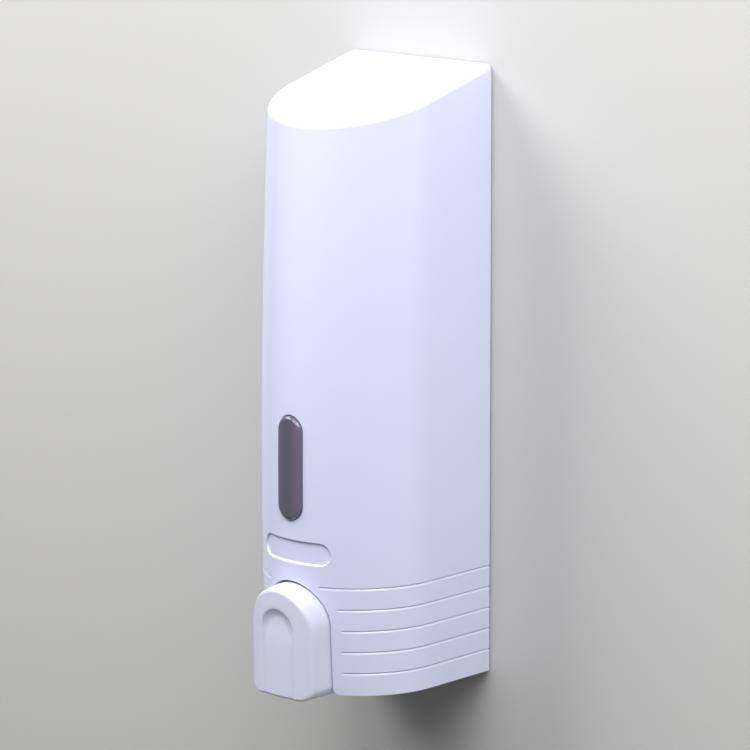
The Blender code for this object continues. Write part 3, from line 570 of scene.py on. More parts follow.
def groove_reach(lift):
    """How wide a groove is on one side of its middle: lift is 1 above it and -1 below it."""
    return GROOVE_LOWER + (GROOVE_UPPER - GROOVE_LOWER) * (0.5 + 0.5 * lift)


def near_groove(s, v):
    """How far a spot is from the nearest groove's middle, and the groove's width on that side."""
    nearest, reach = np.full(np.shape(s), 1e3), np.ones(np.shape(s))
    for index in range(GROOVES):
        height, end = groove_end(index)
        away = capsule(np.abs(s), v, end, height, REAR_S + 50.0, height, 0.0)
        lift = np.clip((v - height) / np.maximum(away, 1e-9), -1, 1)
        reach = np.where(away < nearest, groove_reach(lift), reach)
        nearest = np.minimum(nearest, away)
    return nearest, reach


def relief(s, v, x):
    """How deep the cover's surface is cut at a spot."""
    low = np.where(v < STRAIGHT_TOP, v, STRAIGHT_TOP)
    depth = edge_round(opening_distance(x, low), OPENING_EDGE)
    depth = depth + edge_round(window_distance(x, low), WINDOW_EDGE)
    soft = LABEL_LOWER + (LABEL_UPPER - LABEL_LOWER) * smooth(low - LABEL_HEIGHT, -2, 2)
    depth = depth + sunk(label_distance(x, low), LABEL_DEPTH, soft)
    away, reach = near_groove(s, low)
    depth = depth + GROOVE_DEPTH * np.clip(1 - away / reach, 0, 1) ** 1.15 * (v < STRAIGHT_TOP)
    return depth + edge_round(REAR_S - np.abs(s), REAR_EDGE)


def cover_outside(s, v):
    x, depth, height = shell_point(s, v, 0.0, TOP_FILLET, 0.0, FILLET_V)
    cut = relief(s, v, x)
    # In front the relief goes straight back, and round the sides it follows the surface.
    turn = np.interp(np.abs(s), LENGTHS, ANGLES) * smooth(np.abs(x), 17.0, 26.0)
    x = x - np.sign(s) * np.sin(turn) * cut
    return np.stack([x, depth - np.cos(turn) * cut, height], -1)


def cover_inside(s, v):
    ceiling_drop = WALL / cos(atan(TOP_SLOPE))
    x, _, height = shell_point(s, v, WALL, 0.0, ceiling_drop, TOP_V)
    wide = shell_point(s, v, 0.0, 0.0, ceiling_drop, TOP_V)[0]
    reach = np.abs(wide)
    x = np.where(reach < HALF, reach - WALL * smooth(reach, OPENING_HALF + 1, HALF), HALF - WALL)
    bulge = front_line(height) - SIDE_DEPTH - WALL
    curve = np.sqrt(np.clip(1 - (x / (HALF - WALL)) ** 2, 0, 1))
    behind = np.maximum(np.abs(s) - CURVE_LENGTH, 0)
    depth = SIDE_DEPTH + bulge * curve - behind
    return np.stack([np.sign(s) * x, depth, height], -1)


def in_domain(points):
    """(x, height) points as (s, v) points."""
    return [(float(s_of_x(x)), h) for x, h in points]


def slot_loop(ax, ay, bx, by, radius, step=0.6):
    """A closed slot outline round a vertical or horizontal middle line."""
    if ax == bx:
        ends = [arc(bx, by, radius, 0, 180, step), arc(ax, ay, radius, 180, 360, step)]
    else:
        ends = [arc(ax, ay, radius, 90, 270, step), arc(bx, by, radius, 270, 450, step)]
    first, second = ends
    return (
        first + spaced(first[-1], second[0], 1.5)[1:-1] + second
        + spaced(second[-1], first[0], 1.5)[1:]
    )


def foot_line(away):
    """The bottom edge and the button opening, moved into the cover by away."""
    corner = OPENING_HALF + OPENING_CORNER
    radius = OPENING_CORNER - away
    right = arc(corner, OPENING_CORNER, radius, 270, 180, 0.4)
    side = spaced((OPENING_HALF + away, OPENING_CORNER), (OPENING_HALF + away, OPENING_SPRING), 1.5)
    top = arc(0, OPENING_SPRING, OPENING_HALF + away, 0, 90, 0.8)
    half = in_domain(right + side[1:] + top[1:])
    out = spaced((REAR_S, away), (half[0][0], away), 1.6)
    line = out + half[1:]
    return line + [(-s, v) for s, v in reversed(line[:-1])]


def groove_lines():
    lines = []
    for index in range(GROOVES):
        height, end = groove_end(index)
        for side in (-1, 1):
            lines.append([(side * s, v) for s, v in spaced((end, height), (REAR_S, height), 1.4)])
            for share, beyond in [(share, 0.0) for share in GROOVE_SHARES] + [(1.0, GROOVE_LIP)]:
                turns = [radians(90 + 22.5 * k) for k in range(9)]
                reaches = [share * groove_reach(sin(a)) + beyond for a in turns]
                cap = [(end + r * cos(a), height + r * sin(a)) for r, a in zip(reaches, turns)]
                upper = spaced((REAR_S, cap[0][1]), cap[0], 1.4)
                lower = spaced(cap[-1], (REAR_S, cap[-1][1]), 1.4)
                line = upper[:-1] + cap + lower[1:]
                lines.append([(side * s, v) for s, v in line])
    return lines


def cover_edges():
    """The cover's outline in the domain, as lines that both its skins share."""
    window = in_domain(slot_loop(0, WINDOW_LOW, 0, WINDOW_HIGH, WINDOW_HALF))
    columns = cover_columns()
    top = [(s, TOP_V) for s in columns]
    rows = {0.0, TOP_V, *np.arange(2.5, TOP_V, 2.5).tolist()}
    for index in range(GROOVES):
        height, _ = groove_end(index)
        rows.update((height, *(height + share * GROOVE_UPPER for share in GROOVE_SHARES)))
        rows.update(height - share * GROOVE_LOWER for share in GROOVE_SHARES)
        rows.update((height + GROOVE_UPPER + GROOVE_LIP, height - GROOVE_LOWER - GROOVE_LIP))
    rear = sorted(rows)
    sides = [[(side * REAR_S, v) for v in rear] for side in (-1, 1)]
    return [foot_line(0.0), window, top, *sides]


def cover_columns():
    curved = np.linspace(-CURVE_LENGTH, CURVE_LENGTH, 75)
    straight = np.linspace(CURVE_LENGTH, REAR_S, 9)[1:]
    return np.concatenate([-straight[::-1], curved, straight]).tolist()


def cover_rings():
    """The lines that carry the cover's rounded edges, its label recess and its grooves."""
    rings = [foot_line(away) for away in (0.03, 0.08, 0.16, 0.26, 0.4)]
    for away in (0.05, 0.12, 0.24, 0.36, 0.52):
        rings.append(in_domain(slot_loop(0, WINDOW_LOW, 0, WINDOW_HIGH, WINDOW_HALF + away)))
    reach = LABEL_HALF - LABEL_RADIUS
    for away in (-0.5, -0.36, -0.24, -0.14, -0.05, 0.05, 0.14, 0.24, 0.36, 0.5):
        outline = slot_loop(-reach, LABEL_HEIGHT, reach, LABEL_HEIGHT, LABEL_RADIUS + away, 0.45)
        rings.append(in_domain(outline))
    for away in (0.1, 0.25, 0.45):
        for side in (-1, 1):
            rings.append(spaced((side * (REAR_S - away), 0), (side * (REAR_S - away), TOP_V), 4))
    return rings + groove_lines()


def cover_grid(coarse):
    """Spots between the lines, clear of each of them."""
    rows = np.concatenate([np.arange(1.6, FILLET_V, 2.4), np.linspace(FILLET_V, TOP_V, 8)[:-1]])
    columns = np.array(cover_columns())[1:-1]
    if coarse:
        rows, columns = rows[::4], columns[::3]
    s, v = (grid.ravel() for grid in np.meshgrid(columns, rows))
    x = shell_point(s, v, 0.0, 0.0, 0.0, FILLET_V)[0]
    far = opening_distance(x, v) > 1.1
    far &= window_distance(x, v) > 1.0
    far &= np.abs(label_distance(x, v)) > 0.9
    away, reach = near_groove(s, v)
    far &= away - reach > 0.7
    far &= REAR_S - np.abs(s) > 0.9
    return np.stack([s[far], v[far]], 1).tolist()


def inside_cover(s, v):
    x = shell_point(s, v, 0.0, 0.0, 0.0, FILLET_V)[0]
    fits = (opening_distance(x, v) > 0) & (window_distance(x, v) > 0)
    return fits & (np.abs(s) < REAR_S) & (v < TOP_V)


def make_cover():
    edges = cover_edges()
    flat, outer = triangulate(cover_grid(False), edges + cover_rings(), inside_cover)
    border = [p for pair in open_edges(outer) for p in pair]
    keys = {tuple(np.round(flat[i], 3)): i for i in border}
    shared = [[tuple(flat[a]), tuple(flat[b])] for a, b in open_edges(outer)]
    flat_in, inner = triangulate(cover_grid(True), shared, inside_cover)
    base = len(flat)
    twin = {}
    for i in {p for pair in open_edges(inner) for p in pair}:
        twin[keys[tuple(np.round(flat_in[i], 3))]] = base + i
    faces = outer.tolist() + (inner[:, ::-1] + base).tolist()
    top_line = []
    for a, b in open_edges(outer):
        if min(flat[a][1], flat[b][1]) > TOP_V - 1e-3:
            top_line += [a, b]
        else:
            faces.append([b, a, twin[a], twin[b]])
    top_line = sorted(set(top_line), key=lambda i: flat[i][0])
    lower = [twin[i] for i in top_line]
    faces += [top_line, lower[::-1], [top_line[0], top_line[-1], lower[-1], lower[0]]]
    points = np.concatenate([cover_outside(*flat.T), cover_inside(*flat_in.T)])
    lugs = []
    for side in (-1, 1):
        for foot in LUG_FEET:
            x = sorted((side * LUG_IN, side * (HALF - WALL / 2)))
            lugs.append(box("lug", x, LUG_DEPTHS, (foot, foot + LUG_TALL), 0.4))
    return skin_piece("cover_shell", cover_outside, flat, outer, points, faces, lugs)


# The button


def ridge_distance(x, height):
    """How far a spot is inside the button's front outline."""
    return round_corner(-arch(x, height, RIDGE_SPRING, RIDGE_HALF), height - BUTTON_FOOT, BUTTON_CORNER)


def thumb_distance(x, height):
    """How far a spot is inside the thumb hollow."""
    return -arch(x, height, THUMB_SPRING, THUMB_HALF)


def bowed(x, height):
    """Bows the button's bottom edge up towards its corners."""
    return height + BUTTON_BOW * (x / 10) ** 2 * (1 - smooth(height, BUTTON_FOOT, BUTTON_FOOT + 9))


def button_front(x, height):
    away = ridge_distance(x, height) + BUTTON_LEAN * smooth(height, RIDGE_SPRING, RIDGE_SPRING + 9)
    crown = BUTTON_CROWN * (np.abs(x) / RIDGE_HALF) ** 2.7
    depth = BUTTON_FRONT - crown - edge_round(away, BUTTON_EDGE)
    inside = thumb_distance(x, height)
    inside = (inside + np.sqrt(inside**2 + THUMB_LIP**2)) / 2
    upper = smooth(height, 18.0, 29.0)
    reach = THUMB_SIDE + (THUMB_REACH - THUMB_SIDE) * upper
    bowl = 1 - (1 - np.clip(inside / reach, 0, 1)) ** 2
    deep = THUMB_SHALLOW + (THUMB_DEEP - THUMB_SHALLOW) * upper
    return np.stack([x, depth - deep * bowl, bowed(x, height)], -1)


def button_loop(away):
    """The front outline moved in by away, from its foot round and back."""
    half, foot = RIDGE_HALF - away, BUTTON_FOOT + away
    corner = max(BUTTON_CORNER - away, 0.3)
    right = arc(half - corner, foot + corner, corner, 270, 360, 0.5)
    right += spaced((half, foot + corner), (half, RIDGE_SPRING), 1.0)[1:]
    over = arc(0, RIDGE_SPRING, half, 0, 180, 0.7)
    left = [(-x, h) for x, h in reversed(right)]
    return right + over[1:] + left[1:] + spaced(left[-1], right[0], 1.0)[1:]


def thumb_line(away):
    """The hollow's outline moved in by away, open at the foot."""
    half = THUMB_HALF - away
    right = spaced((half, BUTTON_FOOT - 1), (half, THUMB_SPRING), 1.0)
    over = arc(0, THUMB_SPRING, half, 0, 180, 0.5)
    return right + over[1:] + [(-x, h) for x, h in reversed(right[:-1])]


def rim_of(triangles):
    """The outline of a set of triangles that has no holes, in order."""
    after = dict(open_edges(triangles))
    rim = [min(after)]
    while after[rim[-1]] != rim[0]:
        rim.append(after[rim[-1]])
    return rim


def front_skin(shape, rings, columns, rows, clear, keep):
    """Cuts a flat front along rings, with a grid where it is clear of them, and bends it.

    Returns its flat spots, its triangles, its bent points and its rim."""
    x, height = (grid.ravel() for grid in np.meshgrid(columns, rows))
    free = clear(x, height)
    flat, front = triangulate(np.stack([x[free], height[free]], 1).tolist(), rings, keep)
    return flat, front, shape(*flat.T), rim_of(front)


def add_rows(points, faces, rim, rows):
    """Continues a skin from its rim through rows of points; returns points and the last row."""
    numbers = [list(rim)]
    total = len(points)
    for row in rows:
        numbers.append(list(range(total, total + len(row))))
        total += len(row)
    for low, high in zip(numbers, numbers[1:]):
        for i in range(len(rim)):
            j = (i + 1) % len(rim)
            faces.append([low[j], low[i], high[i], high[j]])
    return np.concatenate([points, *rows]), numbers[-1]


def make_button():
    steps = (0, 0.01, 0.045, 0.1, 0.18, 0.29, 0.43, 0.6, 0.8, 1)
    rings = [button_loop(BUTTON_EDGE * step) for step in steps]
    rings += [thumb_line(a) for a in (-0.4, -0.15, 0.05, 0.25, 0.5, 0.8, 1.2, 1.7, 2.3, THUMB_REACH)]
    across, along = np.arange(-14, 14.1, 1.0), np.arange(0.5, 38, 1.0)

    def clear(x, height):
        hollow = thumb_distance(x, height)
        apart = (hollow < -0.9) | (hollow > THUMB_REACH + 0.4)
        return apart & (ridge_distance(x, height) > BUTTON_EDGE + 0.4)

    def keep(x, height):
        return ridge_distance(x, height) > 0

    flat, front, points, rim = front_skin(button_front, rings, across, along, clear, keep)
    faces = front.tolist()
    spots, start = flat[rim], points[rim, 1]
    rise = np.clip((spots[:, 1] - BUTTON_FOOT) / (RIDGE_SPRING - BUTTON_FOOT), 0, 1)
    wide = spots * [BUTTON_HALF / RIDGE_HALF, 1]
    wide[:, 1] += BUTTON_RISE * rise
    rows = []
    for share in (0.12, 0.25, 0.4, 0.55, 0.7, 0.85, 1.0):
        spot = spots + (wide - spots) * sin(share * pi / 2)
        depth = start + (BUTTON_SHOULDER - start) * share
        rows.append(np.stack([spot[:, 0], depth, bowed(*spot.T)], 1))
    wide[:, 1] = bowed(*wide.T)
    reach = np.hypot(wide[:, 0], wide[:, 1] - BUTTON_MIDDLE)
    inside = ((0, 0), (0, 1), (0, BUTTON_WALL), (8, BUTTON_WALL), (13, BUTTON_WALL + 0.3))
    for ahead, inset in (*inside, (14, BUTTON_WALL + 0.8), (14.5, BUTTON_WALL + 1.6)):
        share = (reach - inset) / reach
        tall = BUTTON_MIDDLE + (wide[:, 1] - BUTTON_MIDDLE) * share
        rows.append(np.stack([wide[:, 0] * share, BUTTON_BACK + ahead + 0 * tall, tall], 1))
    points, last = add_rows(points, faces, rim, rows)
    faces.append(last)
    boss = ring("boss", ROD_RADIUS + GAP, BOSS_RADIUS, BOSS_BACK, BOSS_END, PUMP_AXIS, 0.4, 48)
    return skin_piece("button_cap", button_front, flat, front, points, faces, [boss])


# The window lens


def lens_shape(x, height):
    bulge = front_line(height) - SIDE_DEPTH
    surface = SIDE_DEPTH + bulge * np.sqrt(1 - (x / HALF) ** 2)
    away = -window_distance(x, height) - LENS_GAP
    return np.stack([x, surface + LENS_PROUD - edge_round(away, LENS_EDGE), height], -1)


def make_lens():
    low, high, half = WINDOW_LOW, WINDOW_HIGH, WINDOW_HALF - LENS_GAP
    steps = (0, 0.015, 0.06, 0.13, 0.24, 0.4, 0.6, 0.8, 1)
    rings = [slot_loop(0, low, 0, high, half - LENS_EDGE * step) for step in steps]
    across, along = np.arange(-3.6, 3.7, 0.9), np.arange(low - 4.8, high + 5, 1.2)

    def clear(x, height):
        return -window_distance(x, height) > LENS_GAP + LENS_EDGE + 0.3

    def keep(x, height):
        return window_distance(x, height) < -LENS_GAP

    flat, front, points, rim = front_skin(lens_shape, rings, across, along, clear, keep)
    faces = front.tolist()
    spots = flat[rim]
    middle = np.stack([np.zeros(len(rim)), np.clip(spots[:, 1], low, high)], 1)
    surface = lens_shape(spots[:, 0], spots[:, 1])[:, 1] - LENS_PROUD + LENS_EDGE
    rows = []
    for behind, wider in ((1.4, 0), (2.4, 0), (2.5, 0.1), (2.5, 1.8), (2.7, 2), (3.5, 2), (3.7, 1.8)):
        spot = middle + (spots - middle) * ((half + wider) / half)
        rows.append(np.stack([spot[:, 0], surface - behind, spot[:, 1]], 1))
    points, last = add_rows(points, faces, rim, rows)
    faces += rungs(points, last)
    return skin_piece("level_lens", lens_shape, flat, front, points, faces)


def rungs(points, loop):
    """Closes a symmetric upright loop with level strips from side to side."""
    left, ends, right = [], [], []
    for i in sorted(loop, key=lambda i: points[i][2]):
        x = points[i][0]
        (ends if abs(x) <= 1e-6 else right if x > 0 else left).append(i)
    faces = [[left[k], right[k], right[k + 1], left[k + 1]] for k in range(len(right) - 1)]
    return faces + [[ends[0], right[0], left[0]], [left[-1], right[-1], ends[-1]]]


# The pieces inside


def make_pump_body():
    """A barrel with a screw foot, ribs, a socket for the tank's neck and a spigot below."""
    body = rod("pump_housing", PUMP_RADIUS, PUMP_BACK, PUMP_MOUTH, PUMP_AXIS, 0.5)
    depths = (FOOT_DEPTH, FOOT_DEPTH + FOOT)
    heights = (PUMP_HEIGHT - FOOT_TALL / 2, PUMP_HEIGHT + FOOT_TALL / 2)
    foot = box("foot", (-FOOT_HALF, FOOT_HALF), depths, heights, 0.8)
    root, collar = PUMP_HEIGHT + 2, SOCKET_TOP - COLLAR
    outline = [(0, root), (SOCKET_RADIUS, root), (SOCKET_RADIUS, collar), (COLLAR_RADIUS, collar)]
    outline += [(COLLAR_RADIUS, SOCKET_TOP), (0, SOCKET_TOP)]
    socket = turned("socket", outline, 0.3, at=PORT_AXIS)
    spigot = rod("spigot", SPIGOT_RADIUS, SPIGOT_FOOT, PUMP_HEIGHT - 2, PORT_AXIS, 0.3)
    ribs = []
    for turn in (45, 135):
        heights = (PUMP_HEIGHT - PUMP_RADIUS - RIB, PUMP_HEIGHT + PUMP_RADIUS + RIB)
        rib = box("rib", (-RIB, RIB), (PUMP_BACK - 1, GLAND_SKIRT - 2), heights, 0.3)
        middle = Matrix.Translation(place(0, 0, PUMP_HEIGHT))
        rib.data.transform(middle @ Matrix.Rotation(radians(turn), 4, "Y") @ middle.inverted())
        ribs.append(rib)
    boolean(body, "UNION", foot, socket, spigot, *ribs)
    cuts = [rod("bore", PUMP_BORE, PUMP_BACK + 2, PUMP_MOUTH + 1, PUMP_AXIS, 0)]
    cuts.append(rod("pocket", SOCKET_BORE, SOCKET_FLOOR, SOCKET_TOP + 1, PORT_AXIS, 0))
    cuts.append(rod("port", PORT_RADIUS, SPIGOT_FOOT - 1, SOCKET_FLOOR + 1, PORT_AXIS, 0))
    for side in (-1, 1):
        at = facing(side * PUMP_SCREW_X, PUMP_HEIGHT)
        cuts.append(rod("hole", SCREW_BORE, FOOT_DEPTH - 1, FOOT_DEPTH + FOOT + 1, at, 0, 48))
    return boolean(body, "DIFFERENCE", *cuts)


def make_gland_cap():
    inner, outer, hole = PUMP_RADIUS + GAP, PUMP_RADIUS + 2, ROD_RADIUS + 0.8
    outline = [(inner, GLAND_SKIRT), (outer, GLAND_SKIRT), (outer, GLAND_FACE), (hole, GLAND_FACE)]
    outline += [(hole, PUMP_MOUTH + GAP), (inner, PUMP_MOUTH + GAP)]
    return turned("gland_ribbed", outline, 0.4, ribs=24, rib_depth=0.5, rib_from=outer - 0.45, at=PUMP_AXIS)


def make_rod_wiper():
    """A washer with a lip that leans on the rod."""
    inner, outer, low = ROD_RADIUS + GAP, PUMP_BORE - GAP, PUMP_MOUTH - 2
    outline = [(inner + 0.5, low), (outer, low), (outer, PUMP_MOUTH), (inner + 1.2, PUMP_MOUTH)]
    outline += [(inner + 0.9, PUMP_MOUTH - 0.7), (inner, PUMP_MOUTH - 0.2), (inner, low + 0.8)]
    return turned("wiper_lip", outline, 0.1, at=PUMP_AXIS)


def make_piston_seal():
    """A ring with a groove between its two lips."""
    inner, outer, middle = PISTON_RADIUS - 1.6, PUMP_BORE - GAP, PISTON_DEPTH + PISTON / 2
    outline = [(inner, middle - 0.7), (outer, middle - 0.7), (outer, middle - 0.35)]
    outline += [(outer - 0.5, middle), (outer, middle + 0.35), (outer, middle + 0.7), (inner, middle + 0.7)]
    return turned("seal_lips", outline, 0.12, at=PUMP_AXIS)


def make_plunger():
    edge, groove, front = 1.0, PISTON_RADIUS - 1.9, PISTON_DEPTH + PISTON
    outline = [(0, PISTON_DEPTH), (PISTON_RADIUS, PISTON_DEPTH), (PISTON_RADIUS, PISTON_DEPTH + edge)]
    outline += [(groove, PISTON_DEPTH + edge), (groove, front - edge), (PISTON_RADIUS, front - edge)]
    outline += [(PISTON_RADIUS, front), (ROD_RADIUS + 1.2, front), (ROD_RADIUS, front + 1.2)]
    outline += [(ROD_RADIUS, SHOULDER_BACK), (BOSS_RADIUS, SHOULDER_BACK)]
    outline += [(BOSS_RADIUS, BOSS_BACK - GAP), (ROD_RADIUS, BOSS_BACK - GAP)]
    outline += [(ROD_RADIUS, BOSS_FRONT - 1), (0, BOSS_FRONT - 1)]
    made = turned("piston_rod", outline, 0.25, at=PUMP_AXIS)
    bore = rod("pin_bore", PIN_RADIUS + GAP, -2 * ROD_RADIUS, 2 * ROD_RADIUS, PIN_AXIS, 0, 48)
    return boolean(made, "DIFFERENCE", bore)


def make_spring():
    """A wire coil between the barrel's closed end and the piston, closer at its ends."""
    low, high = PUMP_BACK + 2 + GAP + SPRING_WIRE, PISTON_DEPTH - GAP - SPRING_WIRE
    steps, loops = int(SPRING_TURNS * 48), []
    turns = [2 * pi * n / 12 for n in range(12)]
    for k in range(steps + 1):
        share = k / steps
        angle = 2 * pi * SPRING_TURNS * share
        depth = low + (high - low) * (share - sin(2 * pi * share) / (4 * pi))
        loop = []
        for turn in turns:
            radius = SPRING_RADIUS + SPRING_WIRE * cos(turn)
            spot = (radius * cos(angle), depth + SPRING_WIRE * sin(turn), PUMP_HEIGHT + radius * sin(angle))
            loop.append(spot)
        loops.append(loop)
    return loft("spring_coil", loops)


def make_ball_cage():
    outer, floor, top = SOCKET_BORE - GAP, SOCKET_FLOOR + GAP, BALL_HEIGHT + BALL_RADIUS
    outline = [(0, floor), (outer, floor), (outer, top), (outer - 1.4, top)]
    outline += [(outer - 1.4, floor + 0.8), (0, floor + 0.8)]
    cage = turned("cage_cup", outline, 0.2, at=PORT_AXIS)
    slots = []
    for x, y in ((2.6, 0.6), (0.6, 2.6)):
        reach = (PORT_DEPTH - y, PORT_DEPTH + y)
        slots.append(box("slot", (-x, x), reach, (floor - 1, floor + 1.8), 0.2))
    return boolean(cage, "DIFFERENCE", *slots)


def make_valve_seat():
    """A washer whose hole widens to fit the ball."""
    low, high = SEAT_HEIGHTS
    outline = [(SEAT_WIDE, low), (SOCKET_BORE - GAP, low), (SOCKET_BORE - GAP, high)]
    outline += [(SEAT_NARROW, high), (SEAT_NARROW, low + 0.5)]
    return turned("seat_washer", outline, 0.12, at=PORT_AXIS)


def make_ball():
    turns = [radians(7.5 * k) for k in range(-11, 12)]
    outline = [(BALL_RADIUS * cos(a), BALL_RADIUS * sin(a)) for a in turns]
    outline = [(0, -BALL_RADIUS), *outline, (0, BALL_RADIUS)]
    return turned("steel_ball", outline, 0, at=upright(0, PORT_DEPTH, BALL_HEIGHT))


def make_union_nut():
    clear, wide, outer = NECK_RADIUS + 0.4, COLLAR_RADIUS + 0.4, NUT_RADIUS
    under, over = SOCKET_TOP - COLLAR - GAP, SOCKET_TOP + 0.4
    low, high = NUT_HEIGHTS
    outline = [(clear, low), (outer, low), (outer, high), (clear, high), (clear, over), (wide, over)]
    outline += [(wide, under), (clear, under)]
    return turned("nut_ribbed", outline, 0.35, ribs=28, rib_depth=0.5, rib_from=outer - 0.4, at=PORT_AXIS)


def make_gasket():
    low, high = SOCKET_TOP + GAP, NECK_FOOT - GAP
    return ring("gasket_ring", GASKET_BORE, GASKET_RADIUS, low, high, PORT_AXIS, 0.35)


def make_outlet_valve():
    """A soft flange and a duckbill that narrows to its lips."""
    flange, foot = SPIGOT_FOOT - GAP, 4.5
    outline = [(5.2, flange - 1.1), (5.2, flange), (1.7, flange), (1.7, foot + 2.2), (0.5, foot)]
    outline += [(1.1, foot), (2.7, foot + 2), (2.7, flange - 1.1)]
    return turned("duckbill", outline, 0.2, 48, at=PORT_AXIS)


def make_nozzle():
    floor = SPIGOT_FOOT - 2 * GAP - 1.1
    inner, outer, tube, foot = SPIGOT_RADIUS + GAP, SPIGOT_RADIUS + 2, NOZZLE_TUBE, NOZZLE_FOOT
    outline = [(NOZZLE_BORE, foot), (tube - 0.3, foot), (tube, foot + 1), (tube, floor - 2)]
    outline += [(outer, floor - 1), (outer, NOZZLE_TOP), (inner, NOZZLE_TOP), (inner, floor)]
    outline.append((NOZZLE_BORE, floor))
    return turned("nozzle_cap", outline, 0.3, ribs=20, rib_depth=0.35, rib_from=outer - 0.35, at=PORT_AXIS)


def make_screw(name, x, height, under_head, length):
    """A pan-head screw along Y with a cross recess and a ridged shank."""
    rim, tip = under_head + HEAD_HEIGHT, under_head - length
    outline = [(0, tip), (SHANK - 0.5, tip)]
    for k in range(int((length - 1) / THREAD)):
        outline += [(SHANK - 0.3, tip + 0.3 + THREAD * k), (SHANK, tip + 0.3 + THREAD * (k + 0.5))]
    outline += [(SHANK - 0.3, under_head - 0.5), (SHANK - 0.3, under_head), (HEAD, under_head)]
    outline.append((HEAD, rim - 1))
    turns = [radians(15 * k) for k in range(1, 6)]
    outline += [(HEAD - 1.2 + 1.2 * cos(a), rim - 1 + sin(a)) for a in turns]
    outline += [(HEAD - 1.2, rim), (0, rim)]
    made = turned(name, outline, 0, 48, at=facing(x, height))
    slots = []
    for across, along in ((1.7, 0.35), (0.35, 1.7)):
        wide, tall = (x - across, x + across), (height - along, height + along)
        slots.append(box("slot", wide, (rim - 0.9, rim + 1), tall, 0))
    return boolean(made, "DIFFERENCE", *slots)


# The tank and its lid


def quarter(x, y, radius, start):
    """Seven points over a quarter turn from the start angle, in degrees."""
    turns = [radians(start + 15 * k) for k in range(7)]
    return [(x + radius * cos(a), y + radius * sin(a)) for a in turns]


def d_plan(half, back, front, corner):
    """A D in plan with rounded rear corners, as (x, depth) points."""
    right = quarter(half - corner, back + corner, corner, 270)
    angles = [pi * k / 64 for k in range(65)]
    bow = [(half * cos(a), SIDE_DEPTH + (front - SIDE_DEPTH) * sin(a)) for a in angles]
    left = [(-x, depth) for x, depth in reversed(right)]
    return right + bow + left


def tank_loops(inset, low, high):
    loops = []
    turns = [radians(15 * k) for k in range(7)]
    steps = [(low, TANK_ROUND, a) for a in turns] + [(high, -TANK_ROUND, a) for a in reversed(turns)]
    for level, radius, a in steps:
        pull = TANK_ROUND * (1 - sin(a)) + inset
        corner = max(TANK_ROUND - pull, 0.4)
        plan = d_plan(TANK_HALF - pull, TANK_BACK + pull, TANK_FRONT - pull, corner)
        loops.append([(x, depth, level + radius * (1 - cos(a))) for x, depth in plan])
    return loops


def make_tank():
    tank = loft("tank_shell", tank_loops(0, TANK_FOOT, TANK_TOP))
    added = [rod("neck", NECK_RADIUS, NECK_FOOT, TANK_FOOT + TANK_WALL / 2, PORT_AXIS, 0.3)]
    for side in (-1, 1):
        foot = TANK_TOP - TANK_WALL / 2
        outline = arc(HINGE_DEPTH, HINGE_HEIGHT, EAR_RADIUS, 0, 180, 0.5)
        outline += [(HINGE_DEPTH - EAR_RADIUS, foot), (HINGE_DEPTH + EAR_RADIUS, foot)]
        added.append(prism_x("ear", outline, sorted((side * EAR_IN, side * EAR_OUT)), 0.25))
    boolean(tank, "UNION", *added)
    cuts = [loft("core", tank_loops(TANK_WALL, TANK_FOOT + TANK_WALL, TANK_TOP - TANK_WALL))]
    heights = (TANK_TOP - 2 * TANK_WALL, TANK_TOP + 1)
    mouth = box("mouth", (-MOUTH_HALF, MOUTH_HALF), (MOUTH_BACK, MOUTH_FRONT), heights, 0)
    round_uprights(mouth, 3)
    cuts.append(mouth)
    cuts.append(rod("neck_bore", NECK_BORE, NECK_FOOT - 1, TANK_FOOT + 2 * TANK_WALL, PORT_AXIS, 0))
    cuts.append(rod("ear_bore", HINGE_PIN + GAP, -EAR_OUT - 1, EAR_OUT + 1, HINGE_AXIS, 0, 48))
    return boolean(tank, "DIFFERENCE", *cuts)


def round_uprights(made, radius):
    """Rounds a block's four upright edges."""

    def change(bm):
        tall = [e for e in bm.edges if abs(e.verts[0].co.z - e.verts[1].co.z) > 1e-6]
        bmesh.ops.bevel(bm, geom=tall, offset=radius * MM, segments=6, affect="EDGES", profile=0.5)

    return edit(made, change)


def make_lid():
    """A plate with a raised panel, a ridged tab and a hinge knuckle."""
    back, high = HINGE_DEPTH + EAR_RADIUS + GAP, LID_FOOT + LID
    lid = box("hinged_lid", (-LID_HALF, LID_HALF), (back, LID_FRONT), (LID_FOOT, high), 0)
    soften(round_uprights(lid, 2), 0.4)
    wide, depths = (-LID_PANEL, LID_PANEL), (back + LID_BORDER, LID_FRONT - LID_BORDER)
    added = [box("panel", wide, depths, (high - 0.5, high + 0.5), 0.3)]
    wide, depths = (-TAB_HALF, TAB_HALF), (LID_FRONT - 1, LID_FRONT + TAB)
    added.append(box("tab", wide, depths, (LID_FOOT, high), 0.5))
    wide = (2 - TAB_HALF, TAB_HALF - 2)
    for k in range(TAB_RIDGES):
        depth = LID_FRONT + 0.5 + RIDGE_PITCH * k
        added.append(box("ridge", wide, (depth, depth + 0.5), (high - 0.3, high + 0.35), 0.15))
    added.append(rod("knuckle", KNUCKLE_RADIUS, -KNUCKLE_HALF, KNUCKLE_HALF, HINGE_AXIS, 0.3))
    wide = (-KNUCKLE_HALF + 0.4, KNUCKLE_HALF - 0.4)
    added.append(box("tongue", wide, (HINGE_DEPTH, back + 1), (LID_FOOT, high), 0.2))
    boolean(lid, "UNION", *added)
    bore = rod("bore", HINGE_PIN + GAP, -KNUCKLE_HALF - 1, KNUCKLE_HALF + 1, HINGE_AXIS, 0, 48)
    return boolean(lid, "DIFFERENCE", bore)


